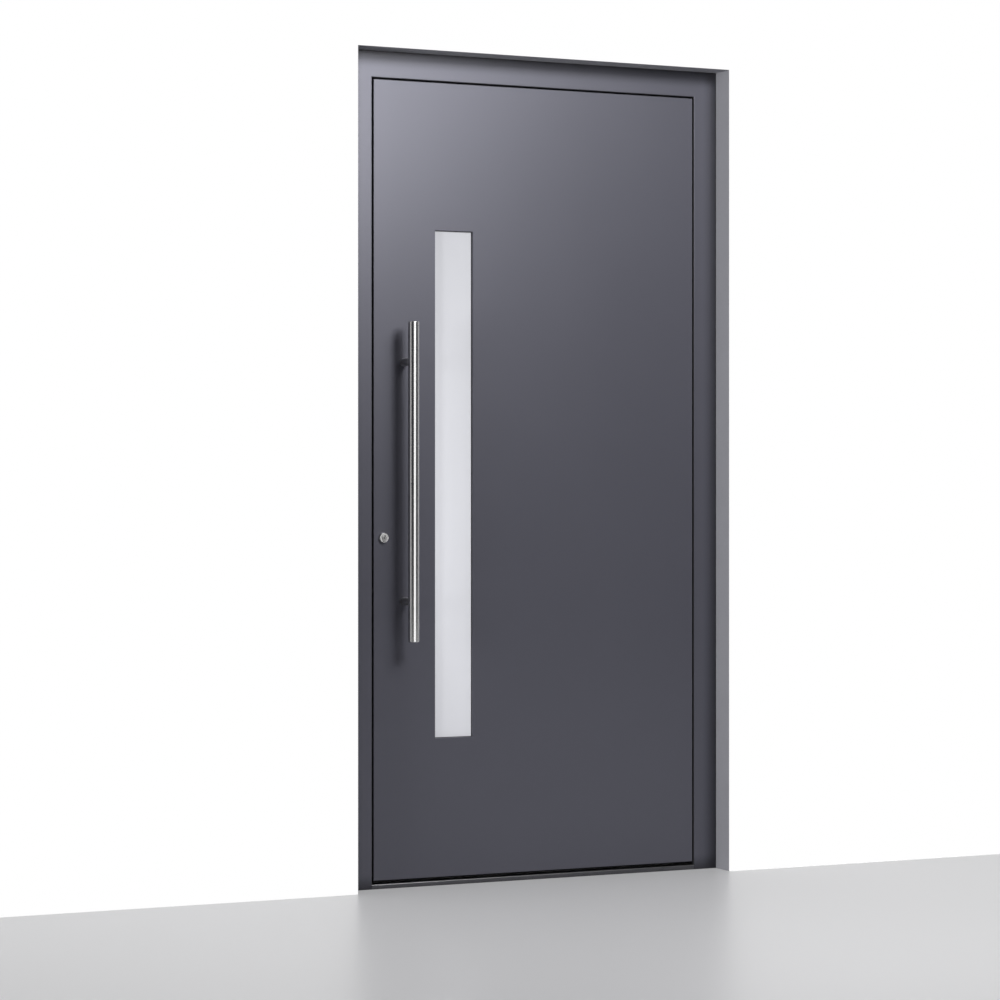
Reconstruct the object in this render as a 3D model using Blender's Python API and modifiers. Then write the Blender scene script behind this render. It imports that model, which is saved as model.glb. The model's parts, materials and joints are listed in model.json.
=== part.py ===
# Flush aluminium entry door with a vertical glass slit, in its frame and reveal lining.
# Metres, +Z up. Seen from outside the door faces -Y and +X is to the right.
# The origin is on the underside of the threshold, at the middle of its length and depth.

import bpy
import bmesh
from math import pi, cos, sin, acos, asin, sqrt, radians
from mathutils import Matrix

# Opening that the reveal lining leaves, and the lining itself
OPENING_WIDTH = 1.050
OPENING_HEIGHT = 2.100
LINING_DEPTH = 0.070
LINING_THICKNESS = 0.004

# Frame section, measured inwards from its outer edge and back from its outer face
FRAME_DEPTH = 0.080
FRAME_FACE = 0.070
FRAME_LEG_DEPTH = 0.026
FRAME_REAR_WIDTH = 0.050
FRAME_EDGE_RADIUS = 0.0012
BREAK_START = 0.030
BREAK_WIDTH = 0.014
BREAK_GROOVE_DEPTH = 0.002
ANCHOR_GROOVE_START = 0.034
ANCHOR_GROOVE_WIDTH = 0.012
ANCHOR_GROOVE_DEPTH = 0.003

# Leaf section
LEAF_GAP = 0.0052
LEAF_BOTTOM = 0.0215
SHOULDER_GAP = 0.010
STILE_WIDTH = 0.080
BOTTOM_RAIL_HEIGHT = 0.110
SKIN_THICKNESS = 0.003
SKIN_EDGE_BEVEL = 0.0008

# Groove for the lock and keeper plates, along the leaf's edge and the frame opposite
HARDWARE_LINE = 0.060
HARDWARE_PLATE_WIDTH = 0.0234
HARDWARE_PLATE_THICKNESS = 0.003
BOLT_RISE = 0.001

# Glass slit, placed from the leaf's lock side edge and from its bottom and top edges
SLIT_WIDTH = 0.105
SLIT_FROM_LOCK_EDGE = 0.168
SLIT_FROM_BOTTOM = 0.351
SLIT_FROM_TOP = 0.3733
GLASS_RECESS = 0.010
GLASS_COVER = 0.008
CHANNEL_WALL = 0.0057
OUTER_PANE = 0.006
MIDDLE_PANE = 0.004
INNER_PANE = 0.006
PANE_SPACE = 0.016
SPACER_WIDTH = 0.0065
SPACER_INSET = 0.0005
BEAD_SLOPE = 0.005
BEAD_SETBACK = 0.0005

# Seals
SEAL_LINE = 0.061
SEAL_HEAD_WIDTH = 0.010
SEAL_HEAD_HEIGHT = 0.0045
SEAL_FOOT_WIDTH = 0.0034
SEAL_FOOT_DEPTH = 0.003
BRUSH_LINE = 0.047
BRUSH_WIDTH = 0.0054
BRUSH_FOOT = 0.010
BRUSH_LIP = 0.0094

# Threshold
THRESHOLD_HEIGHT = 0.0115
THRESHOLD_NOSE = 0.0025
THRESHOLD_RIBS = 6
THRESHOLD_RIB_PITCH = 0.006
THRESHOLD_RIB_DEPTH = 0.001
THRESHOLD_RIB_START = 0.040

# Pull bar
BAR_DIAMETER = 0.028
BAR_LENGTH = 0.800
BAR_MIDDLE_HEIGHT = 1.0205
BAR_FROM_LOCK_EDGE = 0.081
BAR_STANDOFF = 0.065
BAR_END_BEVEL = 0.0012
STANDOFF_DIAMETER = 0.020
STANDOFF_SPACING = 0.600

# Lock, with its key plug
LOCK_HEIGHT = 0.880
LOCK_FROM_LOCK_EDGE = 0.0256
ROSETTE_DIAMETER = 0.027
ROSETTE_TAPER = 0.0018
ROSETTE_HEIGHT = 0.008
CYLINDER_HEAD_RADIUS = 0.0065
CYLINDER_LEG_WIDTH = 0.0084
CYLINDER_LEG_DROP = 0.0105
CYLINDER_RISE = 0.0015
CYLINDER_INNER_RISE = 0.002
PLUG_RADIUS = 0.0046
PLUG_LENGTH = 0.030
PLUG_RISE = 0.0004
PLUG_CLEARANCE = 0.0003
KEYWAY_WIDTH = 0.0022
KEYWAY_HEIGHT = 0.0068
KEYWAY_DEPTH = 0.024
INNER_KEYWAY_DEPTH = 0.004

# Inside handle
HANDLE_TO_CYLINDER = 0.092
ROSE_DIAMETER = 0.052
ROSE_HEIGHT = 0.008
ROSE_EDGE = 0.0015
LEVER_DIAMETER = 0.019
LEVER_LENGTH = 0.125
LEVER_STANDOFF = 0.045
LEVER_BEND = 0.016

# Multi-point lock: plate along the leaf's edge, cases behind it, bolts drawn in, keepers opposite
LOCK_PLATE_FROM_BOTTOM = 0.2085
LOCK_PLATE_FROM_TOP = 0.2188
BOLT_HEIGHT = 0.034
BOLT_THICKNESS = 0.0116
LATCH_OFFSET = 0.018
LATCH_SLOPE_DEPTH = 0.005
DEADBOLT_OFFSET = -0.026
HOOK_HEIGHT = 0.042
HOOK_THICKNESS = 0.008
HOOK_FROM_PLATE_BOTTOM = 0.200
HOOK_FROM_PLATE_TOP = 0.300
BOLT_SLOT_GAP = 0.0012
BOLT_SLOT_DEPTH = 0.006
CASE_THICKNESS = 0.016
CASE_DEPTH = 0.060
CASE_MARGIN = 0.042
HOOK_CASE_DEPTH = 0.032
HOOK_CASE_MARGIN = 0.030
KEEPER_MARGIN = 0.018
KEEPER_HOLE_MARGIN = 0.002
KEEPER_POCKET_DEPTH = 0.020

# Hinges, on the room side of the hinge jamb. The middle one is halfway between the others.
HINGE_FROM_BOTTOM = 0.2285
HINGE_FROM_TOP = 0.2188
HINGE_LENGTH = 0.120
HINGE_AXIS_BACK = 0.012
BARREL_RADIUS = 0.009
KNUCKLE_LENGTH = 0.049
KNUCKLE_GAP = 0.0005
HINGE_WING_WIDTH = 0.038
HINGE_WING_START = 0.0036
HINGE_WING_THICKNESS = 0.006
HINGE_POCKET_CLEARANCE = 0.0005
PIN_RADIUS = 0.004
PIN_CLEARANCE = 0.0003
PIN_HEAD_RADIUS = 0.0078
PIN_HEAD_HEIGHT = 0.0035
PIN_HEAD_BEVEL = 0.001

# Gap between pieces that touch, and how far a mitred bar is shortened for it
FIT = 0.0003
MITRE_GAP = FIT * sqrt(2)

# Places worked out from the sizes above
FRAME_HALF = OPENING_WIDTH / 2 + LINING_THICKNESS
FRAME_TOP = OPENING_HEIGHT + LINING_THICKNESS
FRONT = -FRAME_DEPTH / 2
BACK = FRAME_DEPTH / 2
LEAF_FRONT_EDGE = FRAME_FACE + LEAF_GAP
LEAF_REAR_EDGE = FRAME_REAR_WIDTH + LEAF_GAP
LEAF_SHOULDER = FRAME_LEG_DEPTH + SHOULDER_GAP
LEAF_HALF = FRAME_HALF - LEAF_FRONT_EDGE
LEAF_REAR_HALF = FRAME_HALF - LEAF_REAR_EDGE
LEAF_TOP = FRAME_TOP - LEAF_FRONT_EDGE
LEAF_REAR_TOP = FRAME_TOP - LEAF_REAR_EDGE
LEAF_CORE_FRONT = SKIN_THICKNESS + FIT
LEAF_CORE_BACK = FRAME_DEPTH - SKIN_THICKNESS - FIT
STILE_INNER = LEAF_REAR_HALF - STILE_WIDTH
SLIT_LEFT = -LEAF_HALF + SLIT_FROM_LOCK_EDGE
SLIT_BOTTOM = LEAF_BOTTOM + SLIT_FROM_BOTTOM
SLIT_HEIGHT = LEAF_TOP - SLIT_FROM_TOP - SLIT_BOTTOM
SLIT_CENTRE_X = SLIT_LEFT + SLIT_WIDTH / 2
SLIT_CENTRE_Z = SLIT_BOTTOM + SLIT_HEIGHT / 2
HARDWARE_GROOVE = HARDWARE_PLATE_WIDTH + 2 * FIT
LOCK_X = -LEAF_HALF + LOCK_FROM_LOCK_EDGE
BAR_X = -LEAF_HALF + BAR_FROM_LOCK_EDGE
BAR_Y = FRONT - BAR_STANDOFF
HINGE_X = FRAME_HALF - FRAME_REAR_WIDTH - LEAF_GAP / 2
HINGE_Y = BACK + HINGE_AXIS_BACK
LOWER_HINGE = LEAF_BOTTOM + HINGE_FROM_BOTTOM
UPPER_HINGE = LEAF_TOP - HINGE_FROM_TOP
MIDDLE_HINGE = (LOWER_HINGE + UPPER_HINGE) / 2
LOCK_PLATE_BOTTOM = LEAF_BOTTOM + LOCK_PLATE_FROM_BOTTOM
LOCK_PLATE_TOP = LEAF_REAR_TOP - LOCK_PLATE_FROM_TOP
LATCH_HEIGHT = LOCK_HEIGHT + HANDLE_TO_CYLINDER + LATCH_OFFSET
DEADBOLT_HEIGHT = LOCK_HEIGHT + DEADBOLT_OFFSET
LOWER_HOOK = LOCK_PLATE_BOTTOM + HOOK_FROM_PLATE_BOTTOM
UPPER_HOOK = LOCK_PLATE_TOP - HOOK_FROM_PLATE_TOP

# Steps of the round outlines
ROUND_SEGMENTS = 32
EDGE_STEPS = 4
ARC_STEPS = 8
HEAD_STEPS = 24
BARREL_STEPS = 28
BORE_SEGMENTS = 24
SMOOTH_ANGLE = radians(35)

# Turns of a flat outline or a section into the door's directions
FACE_ON = Matrix(((1, 0, 0), (0, 0, -1), (0, 1, 0))).to_euler()
ALONG_HEAD = Matrix(((0, 0, 1), (0, 1, 0), (-1, 0, 0))).to_euler()
ALONG_SILL = Matrix(((0, 0, 1), (1, 0, 0), (0, 1, 0))).to_euler()
UPRIGHT = Matrix.Identity(3).to_euler()


def start_empty():
    for old in list(bpy.data.objects):
        bpy.data.objects.remove(old, do_unlink=True)
    for old in list(bpy.data.collections):
        bpy.data.collections.remove(old)


def new_collection(name):
    collection = bpy.data.collections.new(name)
    bpy.context.scene.collection.children.link(collection)
    return collection


def new_material(name, colour, roughness, metallic, alpha=1.0):
    material = bpy.data.materials.new(name)
    material.use_nodes = True
    shader = material.node_tree.nodes["Principled BSDF"]
    shader.inputs["Base Color"].default_value = (*colour, 1.0)
    shader.inputs["Roughness"].default_value = roughness
    shader.inputs["Metallic"].default_value = metallic
    shader.inputs["Alpha"].default_value = alpha
    material.diffuse_color = (*colour, alpha)
    return material


def place(name, mesh, material, location=(0, 0, 0), rotation=UPRIGHT, parent=None, collection=None):
    piece = bpy.data.objects.new(name, mesh)
    piece.location = location
    piece.rotation_euler = rotation
    if material:
        mesh.materials.append(material)
    (collection or door).objects.link(piece)
    if parent:
        piece.parent = parent
        piece.matrix_parent_inverse = Matrix.Translation(parent.location).inverted()
    return piece


def as_cutter(piece):
    piece.hide_render = True
    piece.display_type = "WIRE"
    return piece


def cut(piece, cutter, operation="DIFFERENCE"):
    modifier = piece.modifiers.new("cut by " + cutter.name, "BOOLEAN")
    modifier.operation = operation
    modifier.solver = "EXACT"
    modifier.object = cutter
    return modifier


def bevel(piece, width, segments=2):
    modifier = piece.modifiers.new("rounded edges", "BEVEL")
    modifier.width = width
    modifier.segments = segments
    modifier.limit_method = "ANGLE"
    modifier.angle_limit = radians(50)
    return modifier


def shade_round(mesh):
    mesh.shade_smooth()
    mesh.set_sharp_from_angle(angle=SMOOTH_ANGLE)


def rectangle(low_x, high_x, low_y, high_y):
    return [(low_x, low_y), (high_x, low_y), (high_x, high_y), (low_x, high_y)]


def arc(centre_x, centre_y, radius, start, end, steps):
    points = []
    for i in range(steps + 1):
        angle = start + (end - start) * i / steps
        points.append((centre_x + radius * cos(angle), centre_y + radius * sin(angle)))
    return points


def extruded(outlines, low, high):
    """Mesh of a flat outline, with holes if more than one is given, from low to high along local Z."""
    curve = bpy.data.curves.new("outline", "CURVE")
    curve.dimensions = "2D"
    curve.fill_mode = "BOTH"
    curve.extrude = (high - low) / 2
    for outline in outlines:
        spline = curve.splines.new("POLY")
        spline.points.add(len(outline) - 1)
        for point, (x, y) in zip(spline.points, outline):
            point.co = (x, y, 0, 1)
        spline.use_cyclic_u = True
    holder = bpy.data.objects.new("outline", curve)
    bpy.context.scene.collection.objects.link(holder)
    bpy.context.view_layer.update()
    mesh = bpy.data.meshes.new_from_object(holder.evaluated_get(bpy.context.evaluated_depsgraph_get()))
    bpy.data.objects.remove(holder)
    bpy.data.curves.remove(curve)
    shape = bmesh.new()
    shape.from_mesh(mesh)
    bmesh.ops.remove_doubles(shape, verts=shape.verts, dist=1e-6)
    bmesh.ops.dissolve_limit(shape, angle_limit=radians(0.1), verts=shape.verts, edges=shape.edges)
    bmesh.ops.translate(shape, verts=shape.verts, vec=(0, 0, (high + low) / 2))
    bmesh.ops.recalc_face_normals(shape, faces=shape.faces)
    shape.to_mesh(mesh)
    shape.free()
    return mesh


def cuboid(name, low, high, material, parent=None, collection=None):
    size = [high[i] - low[i] for i in range(3)]
    centre = [(high[i] + low[i]) / 2 for i in range(3)]
    shape = bmesh.new()
    bmesh.ops.create_cube(shape, size=1.0)
    bmesh.ops.scale(shape, vec=size, verts=shape.verts)
    mesh = bpy.data.meshes.new(name)
    shape.to_mesh(mesh)
    shape.free()
    return place(name, mesh, material, centre, UPRIGHT, parent, collection)


def round_bar(name, radius, low, high, material, location, rotation=UPRIGHT, parent=None,
              collection=None, end_radius=None):
    """Cylinder from low to high along local Z, or a cone if end_radius is given."""
    shape = bmesh.new()
    bmesh.ops.create_cone(shape, cap_ends=True, segments=ROUND_SEGMENTS, radius1=radius,
                          radius2=radius if end_radius is None else end_radius, depth=high - low)
    bmesh.ops.translate(shape, verts=shape.verts, vec=(0, 0, (high + low) / 2))
    mesh = bpy.data.meshes.new(name)
    shape.to_mesh(mesh)
    shape.free()
    shade_round(mesh)
    return place(name, mesh, material, location, rotation, parent, collection)


def turned(name, profile, material, location, rotation=UPRIGHT, parent=None):
    """Solid turned about local Z from a profile of (radius, height) points that starts and ends on the axis."""
    shape = bmesh.new()
    rim = [shape.verts.new((radius, 0, height)) for radius, height in profile]
    edges = [shape.edges.new(pair) for pair in zip(rim, rim[1:])]
    bmesh.ops.spin(shape, geom=rim + edges, cent=(0, 0, 0), axis=(0, 0, 1), angle=2 * pi,
                   steps=ROUND_SEGMENTS, use_merge=True)
    bmesh.ops.remove_doubles(shape, verts=shape.verts, dist=1e-6)
    bmesh.ops.recalc_face_normals(shape, faces=shape.faces)
    mesh = bpy.data.meshes.new(name)
    shape.to_mesh(mesh)
    shape.free()
    shade_round(mesh)
    return place(name, mesh, material, location, rotation, parent)


# Sections of the bars. Local X runs inwards from the outer edge, local Y back from the outer face.

def hardware_groove(edge, depth, rising):
    """Four corners of the plate groove in an edge at local X = edge."""
    low = HARDWARE_LINE - HARDWARE_GROOVE / 2
    high = HARDWARE_LINE + HARDWARE_GROOVE / 2
    corners = [(edge, low), (edge + depth, low), (edge + depth, high), (edge, high)]
    return corners if rising else corners[::-1]


def frame_section():
    radius = FRAME_EDGE_RADIUS
    break_end = BREAK_START + BREAK_WIDTH
    anchor_end = ANCHOR_GROOVE_START + ANCHOR_GROOVE_WIDTH
    groove_half = SEAL_FOOT_WIDTH / 2 + FIT
    groove_floor = FRAME_LEG_DEPTH - SEAL_FOOT_DEPTH - FIT
    points = [(0, 0)]
    points += arc(FRAME_FACE - radius, radius, radius, -pi / 2, 0, EDGE_STEPS)
    points += [(FRAME_FACE, FRAME_LEG_DEPTH),
               (SEAL_LINE + groove_half, FRAME_LEG_DEPTH),
               (SEAL_LINE + groove_half, groove_floor),
               (SEAL_LINE - groove_half, groove_floor),
               (SEAL_LINE - groove_half, FRAME_LEG_DEPTH),
               (FRAME_REAR_WIDTH, FRAME_LEG_DEPTH),
               (FRAME_REAR_WIDTH, BREAK_START),
               (FRAME_REAR_WIDTH - BREAK_GROOVE_DEPTH, BREAK_START),
               (FRAME_REAR_WIDTH - BREAK_GROOVE_DEPTH, break_end),
               (FRAME_REAR_WIDTH, break_end)]
    points += hardware_groove(FRAME_REAR_WIDTH, -HARDWARE_PLATE_THICKNESS - FIT, True)
    points += arc(FRAME_REAR_WIDTH - radius, FRAME_DEPTH - radius, radius, 0, pi / 2, EDGE_STEPS)
    points += [(0, FRAME_DEPTH),
               (0, anchor_end),
               (ANCHOR_GROOVE_DEPTH, anchor_end),
               (ANCHOR_GROOVE_DEPTH, ANCHOR_GROOVE_START),
               (0, ANCHOR_GROOVE_START)]
    return points


def leaf_section():
    front_edge = LEAF_FRONT_EDGE - LEAF_REAR_EDGE
    plate_depth = HARDWARE_PLATE_THICKNESS + BOLT_RISE + FIT
    points = [(front_edge, LEAF_CORE_FRONT),
              (STILE_WIDTH, LEAF_CORE_FRONT),
              (STILE_WIDTH, LEAF_CORE_BACK),
              (0, LEAF_CORE_BACK)]
    points += hardware_groove(0, plate_depth, False)
    points += [(0, LEAF_SHOULDER), (front_edge, LEAF_SHOULDER)]
    return points


def seal_section():
    half = SEAL_HEAD_WIDTH / 2
    seat = FRAME_LEG_DEPTH + FIT
    shoulder = seat + SEAL_HEAD_HEIGHT / 3
    rise = SEAL_HEAD_HEIGHT - SEAL_HEAD_HEIGHT / 3
    points = [(SEAL_LINE - SEAL_FOOT_WIDTH / 2, seat),
              (SEAL_LINE - SEAL_FOOT_WIDTH / 2, FRAME_LEG_DEPTH - SEAL_FOOT_DEPTH),
              (SEAL_LINE + SEAL_FOOT_WIDTH / 2, FRAME_LEG_DEPTH - SEAL_FOOT_DEPTH),
              (SEAL_LINE + SEAL_FOOT_WIDTH / 2, seat),
              (SEAL_LINE + half, seat)]
    dome = arc(0, 0, 1, 0, pi, ARC_STEPS)
    points += [(SEAL_LINE + half * x, shoulder + rise * y) for x, y in dome]
    points += [(SEAL_LINE - half, seat)]
    return points


def mirrored(section):
    return [(-x, y) for x, y in section[::-1]]


def upright_bar(name, section, side, outer_half, bottom, top, material, parent=None):
    """Bar that stands on the lock side (-1) or hinge side (1) and is mitred into the bar above."""
    length = top - bottom
    mesh = extruded([section if side < 0 else mirrored(section)], 0, length)
    slope = side
    for vertex in mesh.vertices:
        if vertex.co.z > length / 2:
            vertex.co.z = length - MITRE_GAP + slope * vertex.co.x
    return place(name, mesh, material, (side * outer_half, FRONT, bottom), UPRIGHT, parent)


def head_bar(name, section, outer_half, top, material, parent=None):
    mesh = extruded([section], -outer_half, outer_half)
    for vertex in mesh.vertices:
        if vertex.co.z > 0:
            vertex.co.z = outer_half - vertex.co.x
        else:
            vertex.co.z = -outer_half + vertex.co.x
    return place(name, mesh, material, (0, FRONT, top), ALONG_HEAD, parent)


# Frame, threshold, seals and reveal lining

def build_frame():
    section = frame_section()
    lock_jamb = upright_bar("frame_lock_jamb", section, -1, FRAME_HALF, 0, FRAME_TOP, powder_coat)
    upright_bar("frame_hinge_jamb", section, 1, FRAME_HALF, 0, FRAME_TOP, powder_coat)
    head_bar("frame_head", section, FRAME_HALF, FRAME_TOP, powder_coat)
    return lock_jamb


def build_lining():
    section = rectangle(0, LINING_THICKNESS, -LINING_DEPTH, -FIT)
    upright_bar("reveal_lining_lock_side", section, -1, FRAME_HALF, 0, FRAME_TOP, lining_coat)
    upright_bar("reveal_lining_hinge_side", section, 1, FRAME_HALF, 0, FRAME_TOP, lining_coat)
    head_bar("reveal_lining_head", section, FRAME_HALF, FRAME_TOP, lining_coat)


def build_frame_seals():
    section = seal_section()
    bottom = THRESHOLD_HEIGHT + FIT
    upright_bar("frame_seal_lock_side", section, -1, FRAME_HALF, bottom, FRAME_TOP, rubber)
    upright_bar("frame_seal_hinge_side", section, 1, FRAME_HALF, bottom, FRAME_TOP, rubber)
    head_bar("frame_seal_head", section, FRAME_HALF, FRAME_TOP, rubber)


def build_threshold():
    nose = THRESHOLD_NOSE
    top = THRESHOLD_HEIGHT
    points = [(0, 0)]
    points += arc(nose, top - nose, nose, pi, pi / 2, EDGE_STEPS)
    for i in range(THRESHOLD_RIBS):
        start = THRESHOLD_RIB_START + i * THRESHOLD_RIB_PITCH
        middle = start + THRESHOLD_RIB_PITCH / 4
        end = start + THRESHOLD_RIB_PITCH / 2
        points += [(start, top), (middle, top - THRESHOLD_RIB_DEPTH), (end, top)]
    points += arc(FRAME_DEPTH - nose, top - nose, nose, pi / 2, 0, EDGE_STEPS)
    points += [(FRAME_DEPTH, 0)]
    rear_half = FRAME_HALF - FRAME_REAR_WIDTH - FIT
    mesh = extruded([points], -rear_half, rear_half)
    threshold = place("threshold", mesh, threshold_metal, (0, FRONT, 0), ALONG_SILL)
    for side, word in ((-1, "lock"), (1, "hinge")):
        inner = side * (FRAME_HALF - FRAME_FACE - FIT)
        outer = side * FRAME_HALF
        notch = cuboid("threshold_notch_" + word,
                       (min(inner, outer), FRONT - FRAME_LEG_DEPTH, -THRESHOLD_HEIGHT),
                       (max(inner, outer), FRONT + FRAME_LEG_DEPTH + FIT, 2 * THRESHOLD_HEIGHT),
                       None, collection=cutters)
        cut(threshold, as_cutter(notch))


# Leaf

def slit_rectangle(grow):
    return rectangle(SLIT_LEFT - grow, SLIT_LEFT + SLIT_WIDTH + grow,
                     SLIT_BOTTOM - grow, SLIT_BOTTOM + SLIT_HEIGHT + grow)


def sheet(name, outlines, front, back, material, parent):
    """Upright sheet or ring whose outline is drawn in X and Z, from front to back behind the outer face."""
    mesh = extruded(outlines, -back, -front)
    return place(name, mesh, material, (0, FRONT, 0), FACE_ON, parent)


def build_leaf_skins(leaf):
    outer = sheet("leaf_outer_skin",
                  [rectangle(-LEAF_HALF, LEAF_HALF, LEAF_BOTTOM, LEAF_TOP), slit_rectangle(0)],
                  0, SKIN_THICKNESS, powder_coat, leaf)
    inner = sheet("leaf_inner_skin",
                  [rectangle(-LEAF_REAR_HALF, LEAF_REAR_HALF, LEAF_BOTTOM, LEAF_REAR_TOP),
                   slit_rectangle(GLASS_COVER + FIT)],
                  FRAME_DEPTH - SKIN_THICKNESS, FRAME_DEPTH, powder_coat, leaf)
    for skin in (outer, inner):
        bevel(skin, SKIN_EDGE_BEVEL)
    return outer, inner


def build_leaf_frame(leaf):
    section = leaf_section()
    lock_stile = upright_bar("leaf_lock_stile", section, -1, LEAF_REAR_HALF, LEAF_BOTTOM,
                             LEAF_REAR_TOP, profile_metal, leaf)
    hinge_stile = upright_bar("leaf_hinge_stile", section, 1, LEAF_REAR_HALF, LEAF_BOTTOM,
                              LEAF_REAR_TOP, profile_metal, leaf)
    head_bar("leaf_top_rail", section, LEAF_REAR_HALF, LEAF_REAR_TOP, profile_metal, leaf)
    rail = extruded([rectangle(LEAF_CORE_FRONT, LEAF_CORE_BACK, 0, BOTTOM_RAIL_HEIGHT)],
                    -STILE_INNER + FIT, STILE_INNER - FIT)
    bottom_rail = place("leaf_bottom_rail", rail, profile_metal, (0, FRONT, LEAF_BOTTOM), ALONG_SILL, leaf)
    half = BRUSH_WIDTH / 2 + FIT
    groove = cuboid("brush_groove",
                    (-FRAME_HALF, FRONT + BRUSH_LINE - half, LEAF_BOTTOM - BRUSH_FOOT),
                    (FRAME_HALF, FRONT + BRUSH_LINE + half, LEAF_BOTTOM + BRUSH_FOOT + FIT),
                    None, collection=cutters)
    as_cutter(groove)
    for piece in (lock_stile, hinge_stile, bottom_rail):
        cut(piece, groove)
    return lock_stile


def build_leaf_core(leaf):
    low = LEAF_BOTTOM + BOTTOM_RAIL_HEIGHT + FIT
    high = LEAF_REAR_TOP - STILE_WIDTH - FIT
    outline = rectangle(-STILE_INNER + FIT, STILE_INNER - FIT, low, high)
    hole = slit_rectangle(GLASS_COVER + CHANNEL_WALL + 2 * FIT)
    sheet("leaf_core", [outline, hole], LEAF_CORE_FRONT, LEAF_CORE_BACK, foam, leaf)


def build_glazing(leaf):
    channel = sheet("glazing_channel", [slit_rectangle(GLASS_COVER + CHANNEL_WALL + FIT), slit_rectangle(0)],
                    LEAF_CORE_FRONT, LEAF_CORE_BACK, powder_coat, leaf)
    rebate = sheet("glazing_rebate", [slit_rectangle(GLASS_COVER + FIT)],
                   GLASS_RECESS - FIT, 2 * FRAME_DEPTH, None, None)
    door.objects.unlink(rebate)
    cutters.objects.link(rebate)
    cut(channel, as_cutter(rebate))
    depth = GLASS_RECESS
    stack = (("glass_outer_pane", OUTER_PANE, satin_glass), ("glass_outer_spacer", PANE_SPACE, spacer_metal),
             ("glass_middle_pane", MIDDLE_PANE, clear_glass), ("glass_inner_spacer", PANE_SPACE, spacer_metal),
             ("glass_inner_pane", INNER_PANE, satin_glass))
    for name, thickness, material in stack:
        outlines = [slit_rectangle(GLASS_COVER)]
        if "spacer" in name:
            outlines = [slit_rectangle(GLASS_COVER - SPACER_INSET),
                        slit_rectangle(GLASS_COVER - SPACER_INSET - SPACER_WIDTH)]
        sheet(name, outlines, depth, depth + thickness - FIT, material, leaf)
        depth += thickness
    bead = sheet("glazing_bead", [slit_rectangle(GLASS_COVER), slit_rectangle(0)],
                 depth, FRAME_DEPTH - BEAD_SETBACK, powder_coat, leaf)
    slope_bead(bead.data)


def slope_bead(mesh):
    """Lean the bead's sight edge outwards towards the room."""
    room_side = -(FRAME_DEPTH - BEAD_SETBACK)
    for vertex in mesh.vertices:
        across = vertex.co.x - SLIT_CENTRE_X
        along = vertex.co.y - SLIT_CENTRE_Z
        on_sight_edge = abs(across) < SLIT_WIDTH / 2 + FIT and abs(along) < SLIT_HEIGHT / 2 + FIT
        if on_sight_edge and abs(vertex.co.z - room_side) < FIT:
            vertex.co.x += BEAD_SLOPE if across > 0 else -BEAD_SLOPE
            vertex.co.y += BEAD_SLOPE if along > 0 else -BEAD_SLOPE


def build_bottom_brush(leaf):
    half = BRUSH_WIDTH / 2
    section = rectangle(BRUSH_LINE - half, BRUSH_LINE + half, -BRUSH_LIP, BRUSH_FOOT)
    mesh = extruded([section], -LEAF_REAR_HALF, LEAF_REAR_HALF)
    place("leaf_bottom_seal", mesh, rubber, (0, FRONT, LEAF_BOTTOM), ALONG_SILL, leaf)


# Pull bar outside

def build_pull_bar(leaf):
    bar = round_bar("pull_bar", BAR_DIAMETER / 2, -BAR_LENGTH / 2, BAR_LENGTH / 2, stainless,
                    (BAR_X, BAR_Y, BAR_MIDDLE_HEIGHT), UPRIGHT, leaf)
    bevel(bar, BAR_END_BEVEL)
    seat = round_bar("standoff_saddle", BAR_DIAMETER / 2 + FIT, -BAR_LENGTH / 2, BAR_LENGTH / 2, None,
                     (BAR_X, BAR_Y, BAR_MIDDLE_HEIGHT), collection=cutters)
    as_cutter(seat)
    for side, word in ((1, "upper"), (-1, "lower")):
        height = BAR_MIDDLE_HEIGHT + side * STANDOFF_SPACING / 2
        post = round_bar("pull_bar_standoff_" + word, STANDOFF_DIAMETER / 2, FIT, BAR_STANDOFF,
                         stainless, (BAR_X, FRONT, height), FACE_ON, leaf)
        cut(post, seat)


# Lock: rosettes, profile cylinder and key plug

def cylinder_outline(grow):
    """Outline of the profile cylinder, round head above and narrower leg below, about the plug's axis."""
    radius = CYLINDER_HEAD_RADIUS + grow
    half = CYLINDER_LEG_WIDTH / 2 + grow
    meet = asin(half / radius)
    head = arc(0, 0, radius, -pi / 2 + meet, 3 * pi / 2 - meet, HEAD_STEPS)
    leg = arc(0, -CYLINDER_LEG_DROP + CYLINDER_LEG_WIDTH / 2, half, pi, 2 * pi, ARC_STEPS)
    return head + leg


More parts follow.
